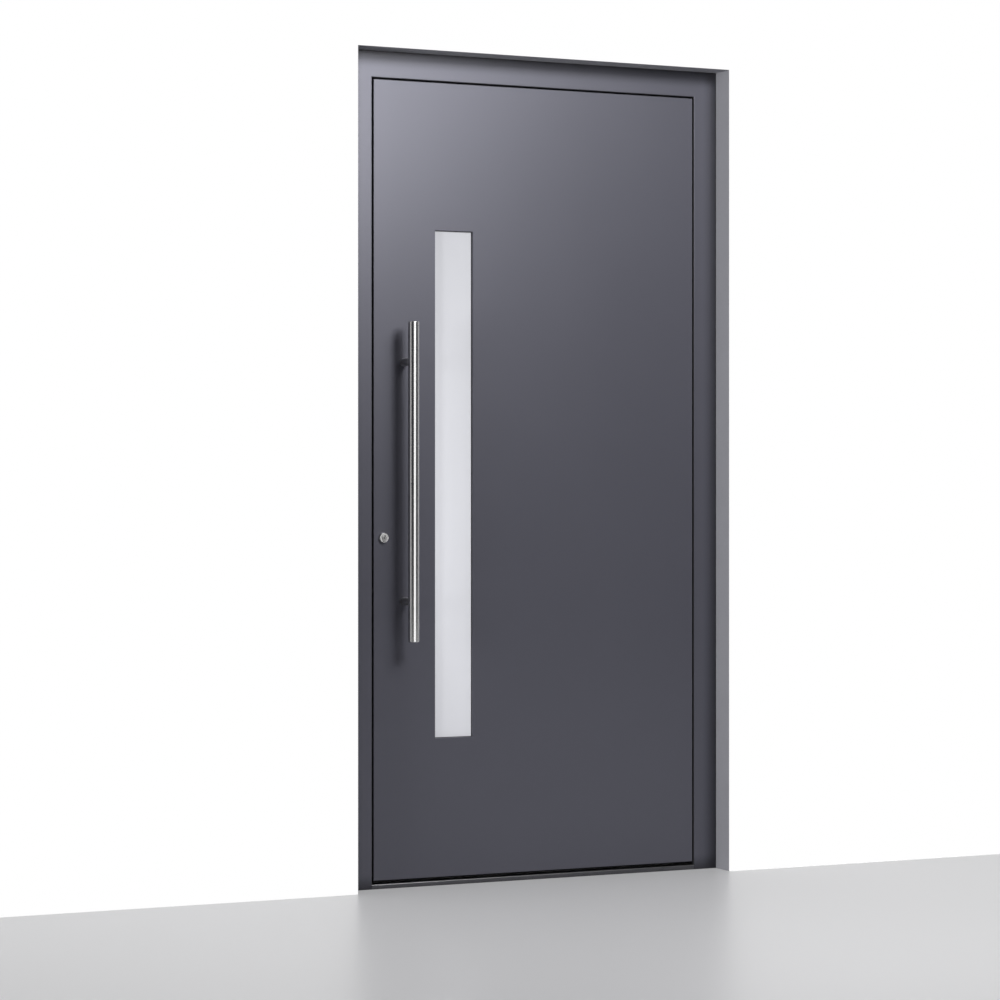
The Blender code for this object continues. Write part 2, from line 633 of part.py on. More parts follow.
def build_lock(leaf, lock_stile, skins, lock_plate):
    at = (LOCK_X, FRONT, LOCK_HEIGHT)
    through = place("cylinder_hole", extruded([cylinder_outline(FIT)], -2 * FRAME_DEPTH, FRAME_DEPTH),
                    None, at, FACE_ON, None, cutters)
    as_cutter(through)
    for piece in (lock_stile, *skins, lock_plate):
        cut(piece, through)

    rosette = round_bar("lock_rosette", ROSETTE_DIAMETER / 2, FIT, ROSETTE_HEIGHT, stainless, at, FACE_ON,
                        leaf, end_radius=ROSETTE_DIAMETER / 2 - ROSETTE_TAPER)
    cut(rosette, through)
    inner_rose = rose("inner_cylinder_rose", LOCK_HEIGHT, leaf)
    cut(inner_rose, through)

    front_face = ROSETTE_HEIGHT + CYLINDER_RISE
    back_face = -(FRAME_DEPTH + ROSE_HEIGHT + CYLINDER_INNER_RISE)
    body = place("lock_cylinder", extruded([cylinder_outline(0)], back_face, front_face), stainless,
                 at, FACE_ON, leaf)
    bore = round_bar("plug_bore", PLUG_RADIUS + PLUG_CLEARANCE, front_face - PLUG_LENGTH - PLUG_CLEARANCE,
                     front_face + PLUG_LENGTH, None, at, FACE_ON, collection=cutters)
    cut(body, as_cutter(bore))
    half_width = KEYWAY_WIDTH / 2
    half_height = KEYWAY_HEIGHT / 2
    inner_face = FRONT - back_face
    inner_keyway = cuboid("inner_keyway",
                          (LOCK_X - half_width, inner_face - INNER_KEYWAY_DEPTH, LOCK_HEIGHT - half_height),
                          (LOCK_X + half_width, inner_face + INNER_KEYWAY_DEPTH, LOCK_HEIGHT + half_height),
                          None, collection=cutters)
    cut(body, as_cutter(inner_keyway))

    plug_front = front_face + PLUG_RISE
    plug = round_bar("key_plug", PLUG_RADIUS, front_face - PLUG_LENGTH, plug_front, stainless, at, FACE_ON, leaf)
    outer_face = FRONT - plug_front
    keyway = cuboid("keyway",
                    (LOCK_X - half_width, outer_face - KEYWAY_DEPTH, LOCK_HEIGHT - half_height),
                    (LOCK_X + half_width, outer_face + KEYWAY_DEPTH, LOCK_HEIGHT + half_height),
                    None, collection=cutters)
    cut(plug, as_cutter(keyway))


def rose(name, height, leaf):
    """Round rose on the inner skin, turned about the lock's axis line at the given height."""
    radius = ROSE_DIAMETER / 2
    profile = [(0, -FIT), (radius, -FIT), (radius, -ROSE_HEIGHT + ROSE_EDGE),
               (radius - ROSE_EDGE, -ROSE_HEIGHT), (0, -ROSE_HEIGHT)]
    return turned(name, profile, stainless, (LOCK_X, BACK, height), FACE_ON, leaf)


def build_inner_handle(leaf):
    height = LOCK_HEIGHT + HANDLE_TO_CYLINDER
    rose("inner_lever_rose", height, leaf)
    start = BACK + ROSE_HEIGHT + FIT
    reach = BACK + ROSE_HEIGHT + LEVER_STANDOFF
    path = [(LOCK_X, start)]
    path += arc(LOCK_X + LEVER_BEND, reach - LEVER_BEND, LEVER_BEND, pi, pi / 2, ARC_STEPS)
    path += [(LOCK_X + LEVER_LENGTH, reach)]
    curve = bpy.data.curves.new("inner_lever", "CURVE")
    curve.dimensions = "3D"
    curve.bevel_depth = LEVER_DIAMETER / 2
    curve.bevel_resolution = 6
    curve.use_fill_caps = True
    spline = curve.splines.new("POLY")
    spline.points.add(len(path) - 1)
    for point, (x, y) in zip(spline.points, path):
        point.co = (x, y, height, 1)
    place("inner_lever", curve, stainless, parent=leaf)


# Multi-point lock in the leaf's edge, and the keepers in the jamb

def bolts():
    """Name, height, length and thickness of each bolt, from the bottom up."""
    return (("lower_hook", LOWER_HOOK, HOOK_HEIGHT, HOOK_THICKNESS),
            ("deadbolt", DEADBOLT_HEIGHT, BOLT_HEIGHT, BOLT_THICKNESS),
            ("latch", LATCH_HEIGHT, BOLT_HEIGHT, BOLT_THICKNESS),
            ("upper_hook", UPPER_HOOK, HOOK_HEIGHT, HOOK_THICKNESS))


def build_lock_plate(leaf, lock_stile):
    edge = -LEAF_REAR_HALF
    line = FRONT + HARDWARE_LINE
    half = HARDWARE_PLATE_WIDTH / 2
    plate_back = edge + BOLT_RISE + HARDWARE_PLATE_THICKNESS
    plate = cuboid("lock_plate",
                   (edge + BOLT_RISE, line - half, LOCK_PLATE_BOTTOM),
                   (plate_back, line + half, LOCK_PLATE_TOP), stainless, leaf)
    case_half = CASE_THICKNESS / 2
    cases = (("main", CASE_DEPTH, DEADBOLT_HEIGHT - CASE_MARGIN, LATCH_HEIGHT + CASE_MARGIN),
             ("lower", HOOK_CASE_DEPTH, LOWER_HOOK - HOOK_CASE_MARGIN, LOWER_HOOK + HOOK_CASE_MARGIN),
             ("upper", HOOK_CASE_DEPTH, UPPER_HOOK - HOOK_CASE_MARGIN, UPPER_HOOK + HOOK_CASE_MARGIN))
    for word, depth, low, high in cases:
        case = cuboid("lock_case_" + word,
                      (plate_back - HARDWARE_PLATE_THICKNESS / 2, line - case_half, low),
                      (edge + depth, line + case_half, high), None, collection=cutters)
        pocket = cuboid("case_pocket_" + word,
                        (edge, line - case_half - FIT, low - FIT),
                        (edge + depth + FIT, line + case_half + FIT, high + FIT), None, collection=cutters)
        cut(plate, as_cutter(case), "UNION")
        cut(lock_stile, as_cutter(pocket))
    for word, height, length, thickness in bolts():
        bolt = cuboid(word + "_end",
                      (edge, line - thickness / 2, height - length / 2),
                      (plate_back, line + thickness / 2, height + length / 2), None, collection=cutters)
        cut(plate, as_cutter(bolt), "UNION")
        cut(plate, bolt_slot(word, height, length, thickness))
    cut(plate, latch_slope(edge, line))
    return plate


def bolt_slot(word, height, length, thickness):
    """Cutter for the slot round a bolt, through the plate and into the case behind it."""
    around = thickness / 2 + BOLT_SLOT_GAP
    along = length / 2 + BOLT_SLOT_GAP
    ring = extruded([rectangle(-around, around, -along, along),
                     rectangle(-thickness / 2, thickness / 2, -length / 2, length / 2)],
                    -BOLT_SLOT_DEPTH, HARDWARE_PLATE_THICKNESS + BOLT_SLOT_DEPTH)
    at = (-LEAF_REAR_HALF + BOLT_RISE, FRONT + HARDWARE_LINE, height)
    return as_cutter(place(word + "_slot", ring, None, at, ALONG_SILL, None, cutters))


def latch_slope(edge, line):
    """Cutter that slopes the latch's nose away on its outer side, where it meets the keeper as the door shuts."""
    outer_side = line - BOLT_THICKNESS / 2 - BOLT_SLOT_GAP / 2
    wedge = [(edge - BOLT_RISE, outer_side), (edge + LATCH_SLOPE_DEPTH, outer_side), (edge - BOLT_RISE, line)]
    half = BOLT_HEIGHT / 2 + BOLT_SLOT_GAP / 2
    return as_cutter(place("latch_slope", extruded([wedge], -half, half), None, (0, 0, LATCH_HEIGHT),
                           UPRIGHT, None, cutters))


def build_keepers(lock_jamb):
    lower_hook, deadbolt, latch, upper_hook = bolts()
    groups = (("lower", (lower_hook,)), ("main", (deadbolt, latch)), ("upper", (upper_hook,)))
    face = -FRAME_HALF + FRAME_REAR_WIDTH
    line = FRONT + HARDWARE_LINE
    half = HARDWARE_PLATE_WIDTH / 2
    for word, group in groups:
        rise = group[0][2] / 2 + KEEPER_HOLE_MARGIN
        keeper = cuboid("keeper_plate_" + word,
                        (face - HARDWARE_PLATE_THICKNESS, line - half, group[0][1] - rise - KEEPER_MARGIN),
                        (face, line + half, group[-1][1] + rise + KEEPER_MARGIN), stainless)
        for name, height, length, thickness in group:
            hole_half = thickness / 2 + KEEPER_HOLE_MARGIN
            pocket = cuboid("keeper_pocket_" + name,
                            (face - KEEPER_POCKET_DEPTH, line - hole_half, height - rise),
                            (face + KEEPER_POCKET_DEPTH, line + hole_half, height + rise),
                            None, collection=cutters)
            as_cutter(pocket)
            cut(keeper, pocket)
            cut(lock_jamb, pocket)


# Hinges

def hinge_outline(side):
    """Wing and barrel in plan about the hinge axis, for the frame's half (1) or the leaf's half (-1)."""
    low = -HINGE_AXIS_BACK + FIT
    high = low + HINGE_WING_THICKNESS
    start = HINGE_WING_START
    end = start + HINGE_WING_WIDTH
    radius = BARREL_RADIUS
    under = -acos(start / radius)
    over = asin(high / radius)
    points = [(end, low), (start, low)]
    points += arc(0, 0, radius, under, over - 2 * pi, BARREL_STEPS)
    points += [(end - HINGE_WING_THICKNESS / 3, high), (end, high - HINGE_WING_THICKNESS / 3)]
    return [(side * x, y) for x, y in points]


def build_hinges(leaf):
    last = BORE_SEGMENTS - 1
    bore = arc(0, 0, PIN_RADIUS + PIN_CLEARANCE, 0, 2 * pi * last / BORE_SEGMENTS, last)
    half = HINGE_LENGTH / 2
    knuckle = KNUCKLE_LENGTH / 2
    pocket = BARREL_RADIUS + HINGE_POCKET_CLEARANCE
    for word, height in (("lower", LOWER_HINGE), ("middle", MIDDLE_HINGE), ("upper", UPPER_HINGE)):
        at = (HINGE_X, HINGE_Y, height)
        frame_half = place("hinge_frame_half_" + word, extruded([hinge_outline(1), bore], -half, half),
                           hinge_metal, at)
        leaf_half = place("hinge_leaf_half_" + word, extruded([hinge_outline(-1), bore], -half, half),
                          hinge_metal, at, UPRIGHT, leaf)
        room = knuckle + KNUCKLE_GAP
        middle = round_bar("knuckle_room_middle_" + word, pocket, -room, room, None, at, collection=cutters)
        above = round_bar("knuckle_room_above_" + word, pocket, knuckle, HINGE_LENGTH, None, at,
                          collection=cutters)
        below = round_bar("knuckle_room_below_" + word, pocket, -HINGE_LENGTH, -knuckle, None, at,
                          collection=cutters)
        cut(frame_half, as_cutter(middle))
        cut(leaf_half, as_cutter(above))
        cut(leaf_half, as_cutter(below))
        shade_round(frame_half.data)
        shade_round(leaf_half.data)
        seat = half + FIT
        tip = seat + PIN_HEAD_HEIGHT
        rim = PIN_HEAD_RADIUS - PIN_HEAD_BEVEL
        profile = [(0, tip), (rim, tip), (PIN_HEAD_RADIUS, tip - PIN_HEAD_BEVEL), (PIN_HEAD_RADIUS, seat),
                   (PIN_RADIUS, seat), (PIN_RADIUS, -seat), (PIN_HEAD_RADIUS, -seat),
                   (PIN_HEAD_RADIUS, -tip + PIN_HEAD_BEVEL), (rim, -tip), (0, -tip)]
        turned("hinge_pin_" + word, profile, hinge_metal, at)


start_empty()
door = new_collection("entry_door")
cutters = new_collection("cutters")

powder_coat = new_material("anthracite powder coat", (0.105, 0.105, 0.125), 0.42, 0.5)
lining_coat = new_material("anthracite lining", (0.24, 0.24, 0.27), 0.6, 0.0)
profile_metal = new_material("leaf profile", (0.09, 0.09, 0.105), 0.45, 0.4)
threshold_metal = new_material("threshold aluminium", (0.16, 0.16, 0.17), 0.4, 0.8)
rubber = new_material("black seal", (0.012, 0.012, 0.013), 0.7, 0.0)
foam = new_material("insulating core", (0.55, 0.50, 0.38), 0.9, 0.0)
satin_glass = new_material("satin glass", (0.82, 0.83, 0.85), 0.5, 0.0)
clear_glass = new_material("clear glass", (0.80, 0.86, 0.84), 0.05, 0.0, 0.4)
spacer_metal = new_material("pane spacer", (0.05, 0.05, 0.05), 0.6, 0.0)
stainless = new_material("stainless steel", (0.60, 0.60, 0.61), 0.25, 1.0)
hinge_metal = new_material("hinge metal", (0.11, 0.11, 0.13), 0.4, 0.6)

swing_axis = bpy.data.objects.new("door_swing_axis", None)
swing_axis.location = (HINGE_X, HINGE_Y, 0)
door.objects.link(swing_axis)

lock_jamb = build_frame()
build_lining()
build_frame_seals()
build_threshold()
skins = build_leaf_skins(swing_axis)
lock_stile = build_leaf_frame(swing_axis)
build_leaf_core(swing_axis)
build_glazing(swing_axis)
build_bottom_brush(swing_axis)
build_pull_bar(swing_axis)
lock_plate = build_lock_plate(swing_axis, lock_stile)
build_lock(swing_axis, lock_stile, skins, lock_plate)
build_inner_handle(swing_axis)
build_keepers(lock_jamb)
build_hinges(swing_axis)
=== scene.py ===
# Entry door: finishes, hardware and small parts around the fixed frame. Metres, outside faces -Y.

import json
import math

import bpy
import bmesh
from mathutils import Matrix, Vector

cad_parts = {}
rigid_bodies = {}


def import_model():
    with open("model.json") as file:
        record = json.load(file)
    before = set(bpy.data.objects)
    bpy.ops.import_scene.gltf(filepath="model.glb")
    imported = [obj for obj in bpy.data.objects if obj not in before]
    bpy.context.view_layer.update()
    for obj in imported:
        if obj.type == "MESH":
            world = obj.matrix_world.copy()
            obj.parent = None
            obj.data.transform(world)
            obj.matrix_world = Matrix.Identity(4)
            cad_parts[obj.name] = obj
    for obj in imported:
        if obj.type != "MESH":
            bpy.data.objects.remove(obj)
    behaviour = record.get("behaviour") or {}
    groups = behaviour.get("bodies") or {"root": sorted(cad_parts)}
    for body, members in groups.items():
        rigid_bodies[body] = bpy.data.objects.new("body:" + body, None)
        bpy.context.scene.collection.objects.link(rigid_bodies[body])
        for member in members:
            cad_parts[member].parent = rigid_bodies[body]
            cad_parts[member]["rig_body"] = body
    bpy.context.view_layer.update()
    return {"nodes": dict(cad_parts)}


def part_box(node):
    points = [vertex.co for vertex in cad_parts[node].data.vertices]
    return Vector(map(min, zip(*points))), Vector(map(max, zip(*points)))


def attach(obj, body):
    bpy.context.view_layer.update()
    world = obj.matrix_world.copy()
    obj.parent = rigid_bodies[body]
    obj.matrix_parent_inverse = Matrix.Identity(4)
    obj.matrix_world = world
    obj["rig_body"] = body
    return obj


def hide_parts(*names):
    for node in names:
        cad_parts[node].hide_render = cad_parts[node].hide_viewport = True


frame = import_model()
nodes = frame["nodes"]
mm = 0.001
letIn = 0.02 * mm     # how far a small part is let into what carries it
print("frame loaded:", len(nodes), "nodes")


# Camera, as the photograph was taken: a long lens, 1.02 m up and left of the door, turned to the right

view = {
    "spot": (-3.3083, -6.8997, 1.0219),
    "turnRight": 25.032,
    "lens": 106.76,
    "shiftUp": -0.01882,
}


def setCamera():
    camera = bpy.data.objects.new("camera", bpy.data.cameras.new("camera"))
    camera.location = view["spot"]
    camera.rotation_euler = (math.radians(90), 0, -math.radians(view["turnRight"]))
    camera.data.lens = view["lens"]
    camera.data.shift_y = view["shiftUp"]
    bpy.context.scene.collection.objects.link(camera)
    bpy.context.scene.camera = camera


# Shader building

class Wire:
    # an output socket that can be added, multiplied and so on, with numbers or other wires
    def __init__(self, finish, socket):
        self.finish = finish
        self.socket = socket

    def math(self, operation, first, second):
        return self.finish.node("ShaderNodeMath", {"operation": operation}, {0: first, 1: second})

    def __add__(self, other):
        return self.math("ADD", self, other)

    def __radd__(self, other):
        return self.math("ADD", other, self)

    def __sub__(self, other):
        return self.math("SUBTRACT", self, other)

    def __rsub__(self, other):
        return self.math("SUBTRACT", other, self)

    def __mul__(self, other):
        return self.math("MULTIPLY", self, other)

    def __rmul__(self, other):
        return self.math("MULTIPLY", other, self)


class Finish:
    # the node tree of one material, or of the world, and a method that adds any node
    def __init__(self, name, owner=None):
        self.owner = owner or bpy.data.materials.new(name)
        self.owner.use_nodes = True
        self.tree = self.owner.node_tree
        self.tree.nodes.clear()
        self.place = self.node("ShaderNodeTexCoord", output="Object")

    def node(self, kind, settings=None, sockets=None, output=0):
        made = self.tree.nodes.new(kind)
        for key, value in (settings or {}).items():
            if key == "stops":
                self.setStops(made.color_ramp, value)
            else:
                setattr(made, key, value)
        for key, value in (sockets or {}).items():
            if isinstance(value, Wire):
                self.tree.links.new(value.socket, made.inputs[key])
            else:
                made.inputs[key].default_value = value
        return Wire(self, made.outputs[output]) if len(made.outputs) else None

    def setStops(self, ramp, stops):
        while len(ramp.elements) < len(stops):
            ramp.elements.new(1.0)
        for element, (position, colour) in zip(ramp.elements, stops):
            element.position = position
            element.color = colour

    def stretched(self, scale):
        return self.node("ShaderNodeMapping", {}, {"Vector": self.place, "Scale": scale})

    def noise(self, scale, detail=2.0, where=None):
        return self.node("ShaderNodeTexNoise", {}, {"Vector": where or self.place, "Scale": scale,
                                                    "Detail": detail})

    def mixColours(self, amount, first, second):
        return self.node("ShaderNodeMix", {"data_type": "RGBA"}, {0: amount, 6: first, 7: second}, output=2)

    def bump(self, height, strength, depth):
        return self.node("ShaderNodeBump", {}, {"Height": height, "Strength": strength, "Distance": depth})

    def blend(self, amount, first, second):
        return self.node("ShaderNodeMixShader", {}, {0: amount, 1: first, 2: second})

    def seenDirectly(self):
        # 1 for the camera and in reflections and glass, 0 for light that bounces
        straight = self.node("ShaderNodeLightPath", output="Is Camera Ray")
        mirrored = self.node("ShaderNodeLightPath", output="Is Glossy Ray")
        through = self.node("ShaderNodeLightPath", output="Is Transmission Ray")
        return self.node("ShaderNodeMath", {"operation": "ADD", "use_clamp": True},
                         {0: straight + mirrored, 1: through})

    def show(self, shader):
        self.node("ShaderNodeOutputMaterial", {}, {"Surface": shader})
        return self.owner

    def surface(self, sockets):
        return self.show(self.node("ShaderNodeBsdfPrincipled", {}, sockets))


def shade(colour, factor):
    return tuple(channel * factor for channel in colour) + (1.0,)


# Finishes; scales are in grains, lines or clouds for each metre

powder = {
    "colour": (0.0902, 0.0902, 0.112),
    "darker": 0.93,
    "paler": 1.07,
    "metallic": 0.39,
    "roughness": 0.40,
    "specular": 0.5,
    "grainScale": 900.0,
    "grainDepth": 0.012 * mm,
    "fleckScale": 2430.0,
    "cloudScale": 3.0,
    "cornerReach": 42 * mm,
    "cornerTone": 0.08,
}


def powderCoat(name, colour=powder["colour"], roughness=powder["roughness"], cornerShade=0.0):
    finish = Finish(name)
    grain = finish.noise(powder["grainScale"], 3.0)
    cloud = finish.noise(powder["cloudScale"], 2.0)
    fleck = finish.noise(powder["fleckScale"], 1.0)
    tone = 0.5 * grain + 0.3 * cloud + 0.2 * fleck
    base = finish.mixColours(tone, shade(colour, powder["darker"]), shade(colour, powder["paler"]))
    # painted shade: the base colour darkens toward corners and recesses, as far as the ambient occlusion
    # closes in
    if cornerShade:
        openness = finish.node("ShaderNodeAmbientOcclusion", {"samples": 6},
                               {"Distance": powder["cornerReach"]}, output="AO")
        paintedShade = finish.node("ShaderNodeMapRange", {}, {"Value": openness, "From Min": 0.5, "From Max": 1.0,
                                                      "To Min": cornerShade, "To Max": 0.0})
        base = finish.mixColours(paintedShade, base, shade(colour, powder["cornerTone"]))
    return finish.surface({
        "Base Color": base,
        "Metallic": powder["metallic"],
        "Roughness": roughness - 0.02 + 0.04 * cloud,
        "Specular IOR Level": powder["specular"],
        "Normal": finish.bump(grain, 0.5, powder["grainDepth"]),
    })


lining = {
    "colour": (0.30, 0.30, 0.325),
    "darker": 0.84,
    "paler": 1.16,
    "roughness": 0.72,
    "specular": 0.25,
    "grainScale": 420.0,
    "grainDepth": 0.12 * mm,
    "cloudScale": 11.0,
}


def liningCoat(name):
    finish = Finish(name)
    colour = lining["colour"]
    grain = finish.noise(lining["grainScale"], 4.0)
    cloud = finish.noise(lining["cloudScale"], 3.0)
    tone = 0.7 * grain + 0.3 * cloud
    base = finish.mixColours(tone, shade(colour, lining["darker"]), shade(colour, lining["paler"]))
    return finish.surface({
        "Base Color": base,
        "Roughness": lining["roughness"] - 0.05 + 0.1 * cloud,
        "Specular IOR Level": lining["specular"],
        "Normal": finish.bump(grain, 0.6, lining["grainDepth"]),
    })


profile = {
    "colour": (0.075, 0.075, 0.086),
    "roughness": 0.42,
    "metallic": 0.25,
    "acrossScale": 260.0,
    "alongScale": 2.0,
    "grainScale": 1100.0,
    "lineDepth": 0.02 * mm,
}


def profileCoat(name, lengthways):
    # satin coated aluminium with the faint draw lines of an extrusion along one axis
    finish = Finish(name)
    colour = profile["colour"]
    scale = [profile["acrossScale"]] * 3
    scale["xyz".index(lengthways)] = profile["alongScale"]
    lines = finish.noise(1.0, 3.0, finish.stretched(scale))
    grain = finish.noise(profile["grainScale"], 2.0)
    return finish.surface({
        "Base Color": finish.mixColours(lines, shade(colour, 0.90), shade(colour, 1.10)),
        "Metallic": profile["metallic"],
        "Roughness": profile["roughness"] - 0.05 + 0.1 * lines,
        "Normal": finish.bump(0.6 * lines + 0.4 * grain, 0.4, profile["lineDepth"]),
    })


anodised = {
    "colour": (0.085, 0.085, 0.092),
    # a lighter tone of the same metal, a painted highlight for the upward faces of the nose
    "noseHighlightColour": (0.30, 0.30, 0.31),
    "metallic": 0.9,
    "roughness": 0.24,
    "lineScale": (2.0, 900.0, 900.0),
    "lineDepth": 0.02 * mm,
    "wearScale": 26.0,
}


def anodisedMetal(name, colour):
    finish = Finish(name)
    lines = finish.noise(1.0, 3.0, finish.stretched(anodised["lineScale"]))
    wear = finish.noise(anodised["wearScale"], 4.0)
    return finish.surface({
        "Base Color": finish.mixColours(lines, shade(colour, 0.86), shade(colour, 1.16)),
        "Metallic": anodised["metallic"],
        "Roughness": anodised["roughness"] + 0.05 * wear + 0.04 * lines,
        "Normal": finish.bump(lines, 0.35, anodised["lineDepth"]),
    })


gasketRubber = {
    "clean": (0.008, 0.008, 0.009, 1),
    "dusty": (0.018, 0.018, 0.019, 1),
    "roughness": 0.5,
    "skinScale": 800.0,
    "skinDepth": 0.03 * mm,
    "dustScale": 60.0,
}


def sealRubber(name):
    finish = Finish(name)
    skin = finish.noise(gasketRubber["skinScale"], 3.0)
    dust = finish.noise(gasketRubber["dustScale"], 4.0)
    return finish.surface({
        "Base Color": finish.mixColours(dust, gasketRubber["clean"], gasketRubber["dusty"]),
        "Roughness": gasketRubber["roughness"] + 0.15 * skin,
        "Normal": finish.bump(skin, 0.4, gasketRubber["skinDepth"]),
    })


polyamide = {
    "black": (0.010, 0.010, 0.010, 1),
    "fleck": (0.022, 0.022, 0.021, 1),
    "roughness": 0.55,
    "ribScale": 160.0,
    "ribDepth": 0.1 * mm,
    "fleckScale": 1500.0,
}


def blackPlastic(name):
    # glass-filled polyamide with fine lengthways ribs
    finish = Finish(name)
    ribs = finish.node("ShaderNodeTexWave", {"wave_type": "BANDS", "bands_direction": "Y"},
                       {"Vector": finish.place, "Scale": polyamide["ribScale"], "Distortion": 0.3})
    ribHeight = finish.node("ShaderNodeRGBToBW", {}, {"Color": ribs})
    fleck = finish.noise(polyamide["fleckScale"], 2.0)
    return finish.surface({
        "Base Color": finish.mixColours(fleck, polyamide["black"], polyamide["fleck"]),
        "Roughness": polyamide["roughness"] + 0.1 * fleck,
        "Normal": finish.bump(ribHeight, 0.5, polyamide["ribDepth"]),
    })


satin = {
    "colour": (0.575, 0.58, 0.612),
    "roughness": 0.55,
    "specular": 0.25,
    "frostScale": 1600.0,
    "frostDepth": 0.01 * mm,
    "cloudScale": 5.0,
}


def satinGlass(name):
    # acid-etched pane: a pale even white with a soft sheen
    finish = Finish(name)
    frost = finish.noise(satin["frostScale"], 3.0)
    cloud = finish.noise(satin["cloudScale"], 2.0)
    return finish.surface({
        "Base Color": finish.mixColours(cloud, shade(satin["colour"], 0.985), shade(satin["colour"], 1.015)),
        "Roughness": satin["roughness"] + 0.06 * frost,
        "Specular IOR Level": satin["specular"],
        "Normal": finish.bump(frost, 0.2, satin["frostDepth"]),
    })


clearPane = {
    "tint": (0.84, 0.90, 0.88, 1),
    "palerTint": (0.88, 0.93, 0.91, 1),
    "roughness": 0.03,
    "alpha": 0.12,
    "filmScale": 9.0,
}


def clearGlass(name):
    finish = Finish(name)
    film = finish.noise(clearPane["filmScale"], 2.0)
    return finish.surface({
        "Base Color": finish.mixColours(film, clearPane["tint"], clearPane["palerTint"]),
        "Roughness": clearPane["roughness"] + 0.02 * film,
        "Alpha": clearPane["alpha"],
    })


foamFill = {
    "cellWall": (0.50, 0.45, 0.33, 1),
    "cell": (0.62, 0.57, 0.45, 1),
    "roughness": 0.9,
    "cellScale": 700.0,
    "cellDepth": 0.3 * mm,
}


def foamCore(name):
    finish = Finish(name)
    cells = finish.node("ShaderNodeTexVoronoi", {}, {"Vector": finish.place, "Scale": foamFill["cellScale"]},
                        output="Distance")
    return finish.surface({
        "Base Color": finish.mixColours(cells, foamFill["cellWall"], foamFill["cell"]),
        "Roughness": foamFill["roughness"],
        "Normal": finish.bump(cells, 0.6, foamFill["cellDepth"]),
    })


spacerFoil = {
    "dark": (0.035, 0.035, 0.035, 1),
    "pale": (0.06, 0.06, 0.06, 1),
    "roughness": 0.6,
    "weaveScale": 1200.0,
}


def spacerBar(name):
    finish = Finish(name)
    weave = finish.noise(spacerFoil["weaveScale"], 2.0)
    return finish.surface({
        "Base Color": finish.mixColours(weave, spacerFoil["dark"], spacerFoil["pale"]),
        "Roughness": spacerFoil["roughness"],
    })


steel = {
    "colour": (0.66, 0.655, 0.65),
    "brushScale": 5200.0,
    "alongScale": 60.0,
    "turnedScale": 2600.0,
    "turnedDepth": 0.01 * mm,
    "smearScale": 140.0,
}


def brushedSteel(name, roughness, anisotropy, lineAxis):
    # ground stainless steel; the grinding lines run across lineAxis, so light spreads along it
    finish = Finish(name)
    scale = [steel["alongScale"]] * 3
    scale["xyz".index(lineAxis)] = steel["brushScale"]
    lines = finish.noise(1.0, 2.0, finish.stretched(scale))
    return finish.surface({
        "Base Color": finish.mixColours(lines, shade(steel["colour"], 0.95), shade(steel["colour"], 1.04)),
        "Metallic": 1.0,
        "Roughness": roughness - 0.01 + 0.02 * lines,
        "Anisotropic": anisotropy,
        "Anisotropic Rotation": 0.25,
    })


def turnedSteel(name, roughness):
    finish = Finish(name)
    fine = finish.noise(steel["turnedScale"], 2.0)
    smear = finish.noise(steel["smearScale"], 3.0)
    return finish.surface({
        "Base Color": finish.mixColours(smear, shade(steel["colour"], 0.93), shade(steel["colour"], 1.05)),
        "Metallic": 1.0,
        "Roughness": roughness + 0.05 * smear,
        "Normal": finish.bump(fine, 0.15, steel["turnedDepth"]),
    })


# the frame coat has painted shade in its corners
frameCoat = powderCoat("frameCoat", cornerShade=0.85)
leafCoat = powderCoat("leafCoat")
hingeCoat = powderCoat("hingeCoat", profile["colour"], 0.34)
reveal = liningCoat("revealCoat")
edgeCoat = profileCoat("leafEdgeCoat", "z")
railCoat = profileCoat("leafRailCoat", "x")
sill = anodisedMetal("sillMetal", anodised["colour"])
# painted highlight: the sill metal in a lighter tone, for the nose's upward faces
sillNoseHighlight = anodisedMetal("sillNoseHighlight", anodised["noseHighlightColour"])
rubber = sealRubber("sealRubber")
plastic = blackPlastic("polyamide")
frosted = satinGlass("satinGlass")
clear = clearGlass("clearGlass")
foam = foamCore("foamCore")
spacer = spacerBar("spacerBar")
barSteel = brushedSteel("barSteel", 0.19, 0.4, "z")
leverSteel = brushedSteel("leverSteel", 0.30, 0.4, "x")
plateSteel = brushedSteel("plateSteel", 0.34, 0.3, "z")
lockSteel = turnedSteel("lockSteel", 0.34)
rosetteSteel = turnedSteel("rosetteSteel", 0.18)
screwSteel = turnedSteel("screwSteel", 0.28)
print("finishes made")


# Modelling helpers

def middle(node):
    low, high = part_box(node)
    return (low + high) / 2


sharpEdges = {"flatTurn": 0.02, "flatRatio": 25, "sharpAngle": 35}


def markSharp(shape):
    # large flat faces stay flat beside the small faces of their rounded edges
    for edge in shape.edges:
        if len(edge.link_faces) != 2:
            continue
        small, large = sorted(face.calc_area() for face in edge.link_faces)
        turn = edge.calc_face_angle(0.0)
        besideFlat = turn > sharpEdges["flatTurn"] and large > sharpEdges["flatRatio"] * small
        edge.smooth = turn < math.radians(sharpEdges["sharpAngle"]) and not besideFlat


def finishPiece(shape, name, material, body, replaced=()):
    markSharp(shape)
    for face in shape.faces:
        face.smooth = True
    mesh = bpy.data.meshes.new(name)
    shape.to_mesh(mesh)
    shape.free()
    mesh.materials.append(material)
    piece = bpy.data.objects.new(name, mesh)
    bpy.context.scene.collection.objects.link(piece)
    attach(piece, body)
    if replaced:
        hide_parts(*replaced)
    return piece


def softenEdges(piece, width, segments=2, angle=40):
    # a live bevel along every edge that turns by more than the angle
    bevel = piece.modifiers.new("softEdges", "BEVEL")
    bevel.width = width
    bevel.segments = segments
    bevel.limit_method = "ANGLE"
    bevel.angle_limit = math.radians(angle)
    bevel.harden_normals = True
    return piece


refine = {"mergeWithin": 0.01 * mm, "flatWithin": 0.4}


